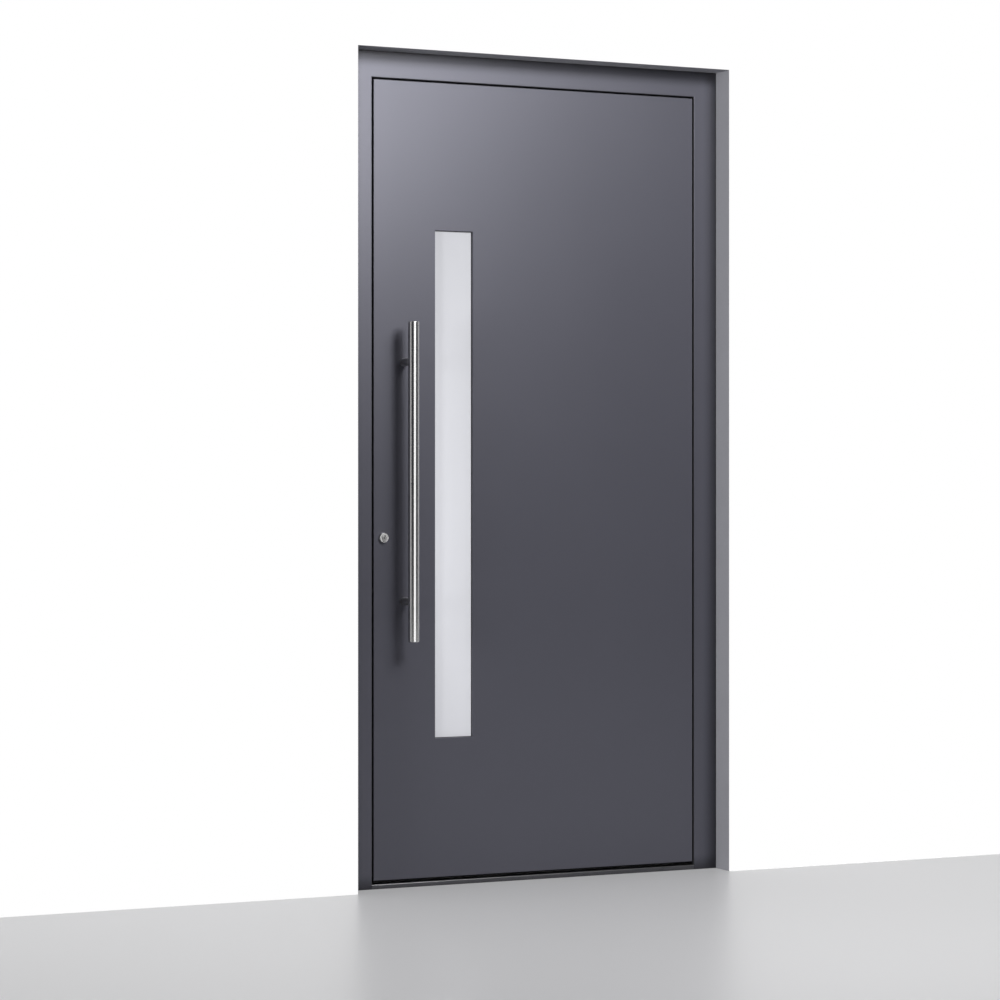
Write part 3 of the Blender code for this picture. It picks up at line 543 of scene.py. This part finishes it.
def refineNode(node, material, edge=0.0, segments=2):
    # a copy of a CAD node with its triangles merged to faces, soft edges and round shading
    shape = bmesh.new()
    shape.from_mesh(nodes[node].data)
    bmesh.ops.remove_doubles(shape, verts=shape.verts, dist=refine["mergeWithin"])
    bmesh.ops.dissolve_limit(shape, angle_limit=math.radians(refine["flatWithin"]), verts=shape.verts,
                             edges=shape.edges)
    words = node.split("_")
    name = words[0] + "".join(word.capitalize() for word in words[1:])
    if name in nodes:
        name += "Bar"     # the threshold, whose own name is taken by its node
    piece = finishPiece(shape, name, material, nodes[node]["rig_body"], [node])
    if edge:
        softenEdges(piece, edge, segments)
    return piece


def spinProfile(shape, profile, centre, axis, steps=96):
    # turns (radius, along) points about an axis through centre
    centre = Vector(centre)
    axis = Vector(axis).normalized()
    side = axis.orthogonal().normalized()
    rim = [shape.verts.new(centre + side * radius + axis * along) for radius, along in profile]
    line = [shape.edges.new(pair) for pair in zip(rim, rim[1:])]
    bmesh.ops.spin(shape, geom=rim + line, cent=centre, axis=axis, angle=2 * math.pi, steps=steps,
                   use_merge=True)
    bmesh.ops.remove_doubles(shape, verts=shape.verts, dist=0.005 * mm)
    bmesh.ops.recalc_face_normals(shape, faces=shape.faces)


def roundedEnd(radius, along, edge, outward, steps=5):
    # profile points of a rounded rim, from the side wall to the flat end
    points = []
    for i in range(steps + 1):
        turn = math.pi / 2 * i / steps
        points.append((radius - edge + edge * math.cos(turn), along + outward * edge * (math.sin(turn) - 1)))
    return points


def pushOutline(shape, outline, travel):
    # a prism from a closed outline of points
    face = shape.faces.new([shape.verts.new(point) for point in outline])
    made = bmesh.ops.extrude_face_region(shape, geom=[face])
    moved = [item for item in made["geom"] if isinstance(item, bmesh.types.BMVert)]
    bmesh.ops.translate(shape, verts=moved, vec=travel)
    bmesh.ops.recalc_face_normals(shape, faces=shape.faces)
    return moved


def mitredBar(shape, section, start, end, outward, mitreStart=0, mitreEnd=0):
    # section holds (outward, y) points; each mitre leans that end by 45 degrees
    start = Vector(start)
    end = Vector(end)
    outward = Vector(outward)
    along = (end - start).normalized()
    outline = [start + outward * out + Vector((0, y, 0)) - along * out * mitreStart for out, y in section]
    moved = pushOutline(shape, outline, end - start)
    for vert in moved:
        out = (vert.co - start).dot(outward)
        vert.co += along * out * (mitreStart + mitreEnd)


def addBlock(shape, low, high):
    made = bmesh.ops.create_cube(shape, size=1.0)["verts"]
    size = [high[i] - low[i] for i in range(3)]
    centre = [(high[i] + low[i]) / 2 for i in range(3)]
    bmesh.ops.scale(shape, verts=made, vec=size)
    bmesh.ops.translate(shape, verts=made, vec=centre)
    return made


# Frame, lining, seals and sill

frameSection = {"rearWidth": 50 * mm, "frontWidth": 70 * mm, "liningThickness": 4 * mm}
weldedCorner = {"closeBy": 0.41 * mm, "slopeSlack": 0.02, "leastSlope": 0.6}
sillParts = {"edgeRound": 0.3 * mm, "noseDepth": 3 * mm, "footHeight": 4 * mm, "noseUpwards": 0.3}
liningRound = 0.4 * mm


def closeMitre(piece):
    # lengthens a jamb to the head, because the real corner is welded before it is coated
    ends = set()
    for face in piece.data.polygons:
        slope = abs(face.normal.z)
        mitred = abs(abs(face.normal.x) - slope) < weldedCorner["slopeSlack"]
        if mitred and slope > weldedCorner["leastSlope"]:
            ends.update(face.vertices)
    for i in ends:
        piece.data.vertices[i].co.z += weldedCorner["closeBy"]


def buildFrame():
    for node in ("frame_lock_jamb", "frame_hinge_jamb", "frame_head"):
        piece = refineNode(node, frameCoat)
        if node != "frame_head":
            closeMitre(piece)
    for node in ("reveal_lining_lock_side", "reveal_lining_hinge_side", "reveal_lining_head"):
        refineNode(node, reveal, liningRound)
    for node in ("frame_seal_lock_side", "frame_seal_hinge_side", "frame_seal_head"):
        refineNode(node, rubber)
    # one solid for the threshold: black insert behind, and in front a painted highlight, a lighter copy of
    # the sill metal on the faces that look up
    piece = refineNode("threshold", sill, sillParts["edgeRound"])
    piece.data.materials.append(plastic)
    piece.data.materials.append(sillNoseHighlight)
    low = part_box("threshold")[0]
    noseBack = low.y + sillParts["noseDepth"]
    footTop = low.z + sillParts["footHeight"]
    for face in piece.data.polygons:
        if face.center.y > noseBack and face.center.z > footTop:
            face.material_index = 1
        elif face.normal.z > sillParts["noseUpwards"]:
            face.material_index = 2


def uprights(shape, section, left, right, foot, top):
    # a bar up each side, mitred at the top
    mitredBar(shape, section, (left, 0, foot), (left, 0, top), (-1, 0, 0), 0, 1)
    mitredBar(shape, section, (right, 0, foot), (right, 0, top), (1, 0, 0), 0, 1)


def headBar(shape, section, left, right, top):
    # the bar between the uprights, mitred at both ends
    mitredBar(shape, section, (left, 0, top), (right, 0, top), (0, 0, 1), 1, 1)


def threeSides(name, section, half, foot, top):
    shape = bmesh.new()
    uprights(shape, section, -half, half, foot, top)
    headBar(shape, section, -half, half, top)
    finishPiece(shape, name, rubber, "frame")


breakStrip = {
    "fromFace": 30 * mm,
    "width": 14 * mm,
    "depth": 2 * mm,
    "recess": 0.4 * mm,
    "play": 0.3 * mm,
    "leafFrom": 12 * mm,
    "leafWidth": 14 * mm,
    "leafRise": 0.15 * mm,
    "leafFoot": 1 * mm,
}


def addBreakStrips(body, section, left, right, foot, top):
    shape = bmesh.new()
    uprights(shape, section, left, right, foot, top)
    finishPiece(shape, body + "BreakStrips", plastic, body)
    shape = bmesh.new()
    headBar(shape, section, left, right, top)
    finishPiece(shape, body + "BreakStripHead", plastic, body)


def buildBreakStrips():
    # the frame's strips lie in its grooves, the leaf's show on its outer edge
    low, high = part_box("frame_head")
    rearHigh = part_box("leaf_inner_skin")[1]
    half = high.x - frameSection["rearWidth"]
    top = rearHigh.z + half - rearHigh.x
    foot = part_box("threshold")[1].z + breakStrip["play"]
    front = low.y + breakStrip["fromFace"] + breakStrip["play"]
    back = front + breakStrip["width"] - 2 * breakStrip["play"]
    near = breakStrip["recess"]
    far = breakStrip["depth"] - breakStrip["play"] / 2
    section = [(near, front), (far, front), (far, back), (near, back)]
    addBreakStrips("frame", section, -half, half, foot, top)

    skinLow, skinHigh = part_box("leaf_outer_skin")
    foot = skinLow.z + breakStrip["leafFoot"]
    front = skinLow.y + breakStrip["leafFrom"]
    back = front + breakStrip["leafWidth"]
    rise = breakStrip["leafRise"]
    section = [(-rise, front), (rise, front), (rise, back), (-rise, back)]
    addBreakStrips("leaf", section, skinLow.x, skinHigh.x, foot, skinHigh.z)


gapGasket = {"thickness": 1.2 * mm, "behindFace": 0.6 * mm, "length": 18 * mm}
cornerTape = {"width": 1.6 * mm, "rise": 0.28 * mm, "underLining": 0.3 * mm, "foot": 0.2 * mm}


def buildGasketsAndTape():
    low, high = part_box("frame_head")
    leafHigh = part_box("leaf_outer_skin")[1]
    half = high.x - frameSection["frontWidth"]
    top = leafHigh.z + half - leafHigh.x
    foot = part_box("threshold")[1].z + breakStrip["play"]
    front = low.y + gapGasket["behindFace"]
    back = front + gapGasket["length"]
    thick = gapGasket["thickness"]
    section = [(letIn, front), (letIn, back), (-thick, back), (-thick, front + thick)]
    threeSides("gapGasket", section, half, foot, top)

    # the sealing tape fills the corner between the lining and the frame's face
    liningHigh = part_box("reveal_lining_head")[1]
    half = liningHigh.x - frameSection["liningThickness"]
    top = liningHigh.z - frameSection["liningThickness"]
    width = cornerTape["width"]
    under = cornerTape["underLining"]
    face = low.y - cornerTape["rise"]
    back = low.y + letIn
    section = [(under, face), (under, back), (-width, back), (-width, face)]
    threeSides("cornerTape", section, half, cornerTape["foot"], top)


# Leaf

def dressNode(node, material):
    # a CAD node that keeps its own mesh and gets a better material
    nodes[node].data.materials.clear()
    nodes[node].data.materials.append(material)


def buildLeaf():
    for node in ("leaf_outer_skin", "leaf_inner_skin"):
        refineNode(node, leafCoat)
    for node in ("leaf_lock_stile", "leaf_hinge_stile"):
        refineNode(node, edgeCoat)
    for node in ("leaf_top_rail", "leaf_bottom_rail"):
        refineNode(node, railCoat)
    dressNode("leaf_core", foam)


brush = {
    "tuftPitch": 2.4 * mm,
    "tuftRadius": 0.9 * mm,
    "tuftTaper": 0.6,
    "tuftSides": 5,
    "rows": (-1.3 * mm, 1.3 * mm),
    "holderDrop": 1.0 * mm,
    "coreHalf": 0.9 * mm,
    "coreShorter": 0.4 * mm,
}


def buildBottomBrush():
    low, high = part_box("leaf_bottom_seal")
    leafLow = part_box("leaf_outer_skin")[0].z
    centreY = (low.y + high.y) / 2
    core = brush["coreHalf"]
    shape = bmesh.new()
    addBlock(shape, (low.x, low.y, leafLow - brush["holderDrop"]), high)
    addBlock(shape, (low.x, centreY - core, low.z + brush["coreShorter"]), (high.x, centreY + core, leafLow))
    count = int((high.x - low.x) / brush["tuftPitch"]) - 1
    length = leafLow - low.z
    radius = brush["tuftRadius"]
    for i in range(count):
        x = low.x + (i + 1) * brush["tuftPitch"]
        for row in brush["rows"]:
            tuft = bmesh.ops.create_cone(shape, cap_ends=True, segments=brush["tuftSides"], radius1=radius,
                                         radius2=radius * brush["tuftTaper"], depth=length)["verts"]
            bmesh.ops.translate(shape, verts=tuft, vec=(x, centreY + row, low.z + length / 2))
    finishPiece(shape, "bottomBrush", rubber, "leaf", ["leaf_bottom_seal"])


# Glazing

glazing = {
    "beadCover": 8 * mm,
    "beadWidth": 7.7 * mm,
    "beadSlope": 5.0 * mm,
    "beadRound": 0.5 * mm,
    "mitreGap": 0.12 * mm,
    "gasketWidth": 1.2 * mm,
    "gasketHeight": 1.5 * mm,
    "gasketUnderBead": 0.3 * mm,
    "gasketOffChannel": 0.05 * mm,
}


def slitRing(shape, section, gap=0.0):
    # four mitred bars round the glass slit
    low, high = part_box("glazing_bead")
    cover = glazing["beadCover"]
    left, right = low.x + cover, high.x - cover
    bottom, top = low.z + cover, high.z - cover
    mitredBar(shape, section, (left, 0, bottom + gap), (left, 0, top - gap), (-1, 0, 0), 1, 1)
    mitredBar(shape, section, (right, 0, bottom + gap), (right, 0, top - gap), (1, 0, 0), 1, 1)
    mitredBar(shape, section, (left + gap, 0, bottom), (right - gap, 0, bottom), (0, 0, -1), 1, 1)
    mitredBar(shape, section, (left + gap, 0, top), (right - gap, 0, top), (0, 0, 1), 1, 1)


def buildGlazing():
    refineNode("glazing_channel", leafCoat)
    low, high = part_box("glazing_bead")
    width = glazing["beadWidth"]
    slope = glazing["beadSlope"]
    shape = bmesh.new()
    slitRing(shape, [(0, low.y), (width, low.y), (width, high.y), (slope, high.y)], glazing["mitreGap"])
    bead = finishPiece(shape, "glazingBeads", leafCoat, "leaf", ["glazing_bead"])
    softenEdges(bead, glazing["beadRound"], 3)

    lip = glazing["gasketWidth"]
    rise = glazing["gasketHeight"]
    under = glazing["gasketUnderBead"]
    off = glazing["gasketOffChannel"]
    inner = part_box("glass_inner_pane")[1].y
    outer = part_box("glass_outer_pane")[0].y
    shape = bmesh.new()
    slitRing(shape, [(-lip, inner + letIn), (under, inner + letIn), (under, inner + rise)])
    slitRing(shape, [(-lip, outer - letIn), (-off, outer - rise), (-off, outer - letIn)])
    finishPiece(shape, "glassGaskets", rubber, "leaf")

    dressNode("glass_outer_pane", frosted)
    dressNode("glass_inner_pane", frosted)
    dressNode("glass_middle_pane", clear)
    dressNode("glass_outer_spacer", spacer)
    dressNode("glass_inner_spacer", spacer)


# Pull bar

bar = {
    "endRound": 1.2 * mm,
    "postWeld": 3 * mm,
    "tubeSteps": 128,
    "postSteps": 64,
}


def buildPullBar():
    low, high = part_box("pull_bar")
    centre = (low + high) / 2
    radius = (high.x - low.x) / 2
    half = (high.z - low.z) / 2
    lowerEnd = roundedEnd(radius, -half, bar["endRound"], -1)
    upperEnd = roundedEnd(radius, half, bar["endRound"], 1)
    shape = bmesh.new()
    spinProfile(shape, [(0, -half)] + lowerEnd[::-1] + upperEnd + [(0, half)], centre, (0, 0, 1),
                bar["tubeSteps"])
    finishPiece(shape, "barTube", barSteel, "leaf", ["pull_bar"])

    for word in ("upper", "lower"):
        node = "pull_bar_standoff_" + word
        postLow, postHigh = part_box(node)
        postRadius = (postHigh.x - postLow.x) / 2
        length = postHigh.y - centre.y - radius + bar["postWeld"]
        root = middle(node)
        root.y = postHigh.y
        shape = bmesh.new()
        spinProfile(shape, [(0, 0), (postRadius, 0), (postRadius, length), (0, length)], root, (0, -1, 0),
                    bar["postSteps"])
        finishPiece(shape, "barPost" + word.capitalize(), lockSteel, "leaf", [node])


# Lock

lockParts = {
    # node: finish, width of the rounded edge, steps round it
    "lock_rosette": (rosetteSteel, 1.0 * mm, 5),
    "lock_cylinder": (lockSteel, 0.35 * mm, 3),
    "key_plug": (lockSteel, 0.25 * mm, 2),
    "inner_cylinder_rose": (lockSteel, 0.4 * mm, 3),
    "inner_lever_rose": (lockSteel, 0.4 * mm, 3),
    "inner_lever": (leverSteel, 1.0 * mm, 3),
    "lock_plate": (plateSteel, 0.25 * mm, 2),
    "keeper_plate_lower": (plateSteel, 0.25 * mm, 2),
    "keeper_plate_main": (plateSteel, 0.25 * mm, 2),
    "keeper_plate_upper": (plateSteel, 0.25 * mm, 2),
}


def buildLock():
    for node, (material, edge, segments) in lockParts.items():
        refineNode(node, material, edge, segments)


# Screws: raised countersunk heads with a six-lobed recess

screw = {
    "sides": 24,
    "headRadius": 3.6 * mm,
    "hingeHeadRadius": 4.4 * mm,
    "headRise": 0.5 * mm,
    "headRings": ((1.0, 0.5), (0.9, 0.85), (0.6, 1.0)),     # share of the radius, share of the rise
    "recessRadius": 1.5 * mm,
    "recessLevels": (1.0, 0.12),     # shares of the rise
    "lobe": 0.28 * mm,
    "lobes": 6,
}


def screwRing(shape, radius, height):
    ring = bmesh.ops.create_circle(shape, segments=screw["sides"], radius=radius)["verts"]
    bmesh.ops.translate(shape, verts=ring, vec=(0, 0, height))
    return ring, list({edge for vert in ring for edge in vert.link_edges})


def addScrew(shape, place, outward, radius):
    turn = Vector((0, 0, 1)).rotation_difference(Vector(outward)).to_matrix().to_4x4()
    rise = screw["headRise"]
    everything, rim = screwRing(shape, radius, 0.0)
    everything = list(everything)
    for share, lift in screw["headRings"]:
        ring, nextRim = screwRing(shape, radius * share, rise * lift)
        bmesh.ops.bridge_loops(shape, edges=rim + nextRim)
        everything += ring
        rim = nextRim
    for level in screw["recessLevels"]:
        ring, nextRim = screwRing(shape, screw["recessRadius"], rise * level)
        for vert in ring:
            wave = screw["lobe"] * math.cos(screw["lobes"] * math.atan2(vert.co.y, vert.co.x))
            vert.co.xy *= 1 + wave / screw["recessRadius"]
        bmesh.ops.bridge_loops(shape, edges=rim + nextRim)
        everything += ring
        rim = nextRim
    bmesh.ops.edgeloop_fill(shape, edges=rim)
    bmesh.ops.transform(shape, matrix=turn, verts=everything)
    bmesh.ops.translate(shape, verts=everything, vec=place)


screwPlaces = {
    "plateFace": 1 * mm,
    "plateInset": 12 * mm,
    "besideKeeper": 40 * mm,
    "keeperInset": 9 * mm,
    "wingThickness": 6 * mm,
    "wingInset": 11 * mm,
    "wingMiddleInset": 22 * mm,
    "wingHeights": (-0.36, 0.0, 0.36),     # shares of the hinge's height, from its middle
}


def buildScrews():
    lower = middle("keeper_plate_lower").z
    upper = middle("keeper_plate_upper").z
    mainLow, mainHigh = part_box("keeper_plate_main")
    plateLow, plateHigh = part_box("lock_plate")
    line = middle("keeper_plate_main").y
    inset = screwPlaces["plateInset"]
    beside = screwPlaces["besideKeeper"]
    radius = screw["headRadius"]

    shape = bmesh.new()
    for height in (plateLow.z + inset, lower - beside, lower + beside, mainLow.z - inset,
                   mainHigh.z + inset, upper - beside, upper + beside, plateHigh.z - inset):
        addScrew(shape, (plateLow.x + screwPlaces["plateFace"], line, height), (-1, 0, 0), radius)
    finishPiece(shape, "lockPlateScrews", screwSteel, "leaf")

    shape = bmesh.new()
    for word in ("lower", "main", "upper"):
        low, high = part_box("keeper_plate_" + word)
        for height in (low.z + screwPlaces["keeperInset"], high.z - screwPlaces["keeperInset"]):
            addScrew(shape, (high.x, line, height), (1, 0, 0), radius)
    finishPiece(shape, "keeperScrews", screwSteel, "frame")

    for half, side in (("frame", 1), ("leaf", -1)):
        shape = bmesh.new()
        for word in ("lower", "middle", "upper"):
            low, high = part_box("hinge_%s_half_%s" % (half, word))
            edge = high.x if side > 0 else low.x
            face = low.y + screwPlaces["wingThickness"]
            for share in screwPlaces["wingHeights"]:
                height = (low.z + high.z) / 2 + share * (high.z - low.z)
                inset = screwPlaces["wingInset"] if share else screwPlaces["wingMiddleInset"]
                addScrew(shape, (edge - side * inset, face, height), (0, 1, 0), screw["hingeHeadRadius"])
        finishPiece(shape, "hingeScrews" + half.capitalize(), screwSteel, half)


# Hinges

hingeRound = 0.4 * mm


def buildHinges():
    for word in ("lower", "middle", "upper"):
        for part in ("hinge_frame_half_", "hinge_leaf_half_", "hinge_pin_"):
            refineNode(part + word, hingeCoat, hingeRound)


# Studio: pale floor, a white panel just ahead of the lining, soft lamps, and a dark curtain for the steel

studio = {
    "floorHalf": 9.0,
    "floorDrop": 0.5 * mm,
    "floorColour": (0.62, 0.62, 0.64),
    "floorEvenness": 0.4,
    "floorLevel": 0.64,
    "floorGloss": 0.6,
    "sheenRoughness": 0.32,
    "sheenIor": 1.3,
    "fadeFrom": 2.15,
    "fadeTo": 2.9,
    "ambient": 0.13,
}


def paintTone(finish, colour):
    mottle = finish.noise(2.0, 3.0)
    return finish.mixColours(mottle, shade(colour, 0.985), shade(colour, 1.015))


def glowing(finish, strength):
    return finish.node("ShaderNodeEmission", {}, {"Color": (1, 1, 1, 1), "Strength": strength})


def floorPaint(name):
    # pale floor with a faint sheen; part of its tone is even for the camera, the rest keeps light and shadow
    finish = Finish(name)
    plain = finish.node("ShaderNodeBsdfDiffuse", {}, {"Color": paintTone(finish, studio["floorColour"])})
    sight = finish.node("ShaderNodeLightPath", output="Is Camera Ray")
    matt = finish.blend(studio["floorEvenness"] * sight, plain, glowing(finish, studio["floorLevel"]))
    sheen = finish.node("ShaderNodeBsdfGlossy", {}, {"Color": (1, 1, 1, 1),
                                                     "Roughness": studio["sheenRoughness"]})
    facing = finish.node("ShaderNodeFresnel", {}, {"IOR": studio["sheenIor"]})
    shown = finish.blend(studio["floorGloss"] * facing, matt, sheen)
    # beyond what the photograph shows, the floor runs out into the white of the backdrop
    away = finish.node("ShaderNodeVectorMath", {"operation": "LENGTH"}, {0: finish.place}, output="Value")
    far = finish.node("ShaderNodeMapRange", {"interpolation_type": "SMOOTHSTEP"},
                      {"Value": away, "From Min": studio["fadeFrom"], "From Max": studio["fadeTo"]})
    return finish.show(finish.blend(far * sight, shown, glowing(finish, 1.0)))


panel = {
    "white": (0.86, 0.86, 0.86, 1),
    "reach": 2.9,
    "height": 2.115,
    "ahead": 0.5 * mm,
    "thickness": 0.2 * mm,
}


def panelPaint(name):
    # white for the camera and in reflections, a plain pale diffuse for everything else
    finish = Finish(name)
    plain = finish.node("ShaderNodeBsdfDiffuse", {}, {"Color": panel["white"]})
    return finish.show(finish.blend(finish.seenDirectly(), plain, glowing(finish, 1.0)))


curtain = {
    "colour": (0.075, 0.075, 0.085),
    "roughness": 0.9,
    "specular": 0.2,
    "radius": 3.6,
    "foot": 0.45,
    "top": 6.5,
    "from": -76.0,     # degrees from straight in front, less than 0 to the left
    "to": 72.0,
    "steps": 24,
}


def curtainCloth(name):
    finish = Finish(name)
    return finish.surface({
        "Base Color": paintTone(finish, curtain["colour"]),
        "Roughness": curtain["roughness"],
        "Specular IOR Level": curtain["specular"],
    })


lamps = {
    # place, what it points at, width, height, power
    "keyLight": ((0.05, -2.20, 2.17), (0, 0, 1.05), 0.58, 0.58, 23.7),
    "overheadLight": ((0.45, -2.5, 3.1), (0, 0, 1.6), 1.4, 0.9, 57.5),
    "sideLight": ((-5.5, -1.5, 1.2), (0.5, -0.1, 1.0), 1.8, 1.8, 192.0),
    "stripLight": ((-0.3, -2.8, 1.4), (-0.37, -0.1, 1.4), 1.9, 2.4, 20.5),
    "glassFill": ((-0.2, -1.54, 0.88), (-0.233, 0, 0.88), 0.5, 0.5, 13.6),
    "backLight": ((-1.4, 3.4, 2.6), (0, 0, 1.0), 1.6, 1.6, 92.0),
    "backFill": ((2.6, 3.0, 1.7), (0, 0, 1.0), 1.6, 1.6, 48.0),
}


def addStage(shape, name, material):
    mesh = bpy.data.meshes.new(name)
    shape.to_mesh(mesh)
    shape.free()
    mesh.materials.append(material)
    piece = bpy.data.objects.new(name, mesh)
    bpy.context.scene.collection.objects.link(piece)
    return piece


def addLamp(name, spot, aim, width, height, power):
    lamp = bpy.data.lights.new(name, "AREA")
    lamp.energy = power
    lamp.size = width
    if height != width:
        lamp.shape = "RECTANGLE"
        lamp.size_y = height
    holder = bpy.data.objects.new(name, lamp)
    holder.location = spot
    holder.rotation_euler = (Vector(aim) - Vector(spot)).to_track_quat("-Z", "Y").to_euler()
    holder.visible_camera = False
    bpy.context.scene.collection.objects.link(holder)


def limitLamp(name, pieces, state="INCLUDE"):
    # the lamp reaches only the named pieces, or all but them
    lamp = bpy.data.objects[name]
    reached = bpy.data.collections.new(name + "Pieces")
    for piece in pieces:
        reached.objects.link(bpy.data.objects[piece])
    lamp.light_linking.receiver_collection = reached
    for item in reached.collection_objects:
        item.light_linking.link_state = state


def buildFloor():
    shape = bmesh.new()
    bmesh.ops.create_grid(shape, x_segments=1, y_segments=1, size=studio["floorHalf"])
    bmesh.ops.translate(shape, verts=shape.verts, vec=(0, 0, -studio["floorDrop"]))
    addStage(shape, "floor", floorPaint("floorPaint"))


def buildPanel():
    low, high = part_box("reveal_lining_head")
    back = low.y - panel["ahead"]
    front = back - panel["thickness"]
    half = high.x - frameSection["liningThickness"]
    top = high.z - frameSection["liningThickness"]
    reach = panel["reach"]
    height = panel["height"]
    shape = bmesh.new()
    addBlock(shape, (-reach, front, 0), (-half, back, height))
    addBlock(shape, (half, front, 0), (reach, back, height))
    addBlock(shape, (-half, front, top), (half, back, height))
    addStage(shape, "backdropPanel", panelPaint("panelWhite"))


def buildLamps():
    for name, values in lamps.items():
        addLamp(name, *values)
    bpy.data.objects["sideLight"].visible_glossy = False
    limitLamp("sideLight", ["floor"], "EXCLUDE")
    limitLamp("stripLight", ["barTube", "barPostUpper", "barPostLower", "lockRosette"])
    limitLamp("glassFill", ["glass_outer_pane"])
    limitLamp("overheadLight", ["glass_outer_pane"], "EXCLUDE")


def buildCurtain():
    # a bent sheet round the front, which only the steel and the coat see, in their reflections
    start = math.radians(curtain["from"])
    sweep = math.radians(curtain["to"]) - start
    shape = bmesh.new()
    foot = shape.verts.new((curtain["radius"] * math.sin(start), -curtain["radius"] * math.cos(start),
                            curtain["foot"]))
    head = shape.verts.new((foot.co.x, foot.co.y, curtain["top"]))
    edge = shape.edges.new((foot, head))
    bmesh.ops.spin(shape, geom=[foot, head, edge], cent=(0, 0, 0), axis=(0, 0, 1), angle=sweep,
                   steps=curtain["steps"])
    cloth = addStage(shape, "darkCurtain", curtainCloth("curtainCloth"))
    cloth.visible_camera = False
    cloth.visible_diffuse = False
    cloth.visible_shadow = False


def buildWorld():
    # white where it is seen directly, a low plain level as light
    bpy.context.scene.world = bpy.data.worlds.new("studio")
    finish = Finish("studio", bpy.context.scene.world)
    level = studio["ambient"] + (1 - studio["ambient"]) * finish.seenDirectly()
    white = finish.node("ShaderNodeBackground", {}, {"Color": (1, 1, 1, 1), "Strength": level})
    finish.node("ShaderNodeOutputWorld", {}, {"Surface": white})


setCamera()
buildFrame()
buildBreakStrips()
buildGasketsAndTape()
print("frame dressed")
buildLeaf()
buildBottomBrush()
buildGlazing()
print("leaf dressed")
buildPullBar()
buildLock()
buildHinges()
buildScrews()
print("hardware made")
buildFloor()
buildPanel()
buildLamps()
buildCurtain()
buildWorld()
bpy.context.scene.view_settings.view_transform = "Standard"
print("studio set")
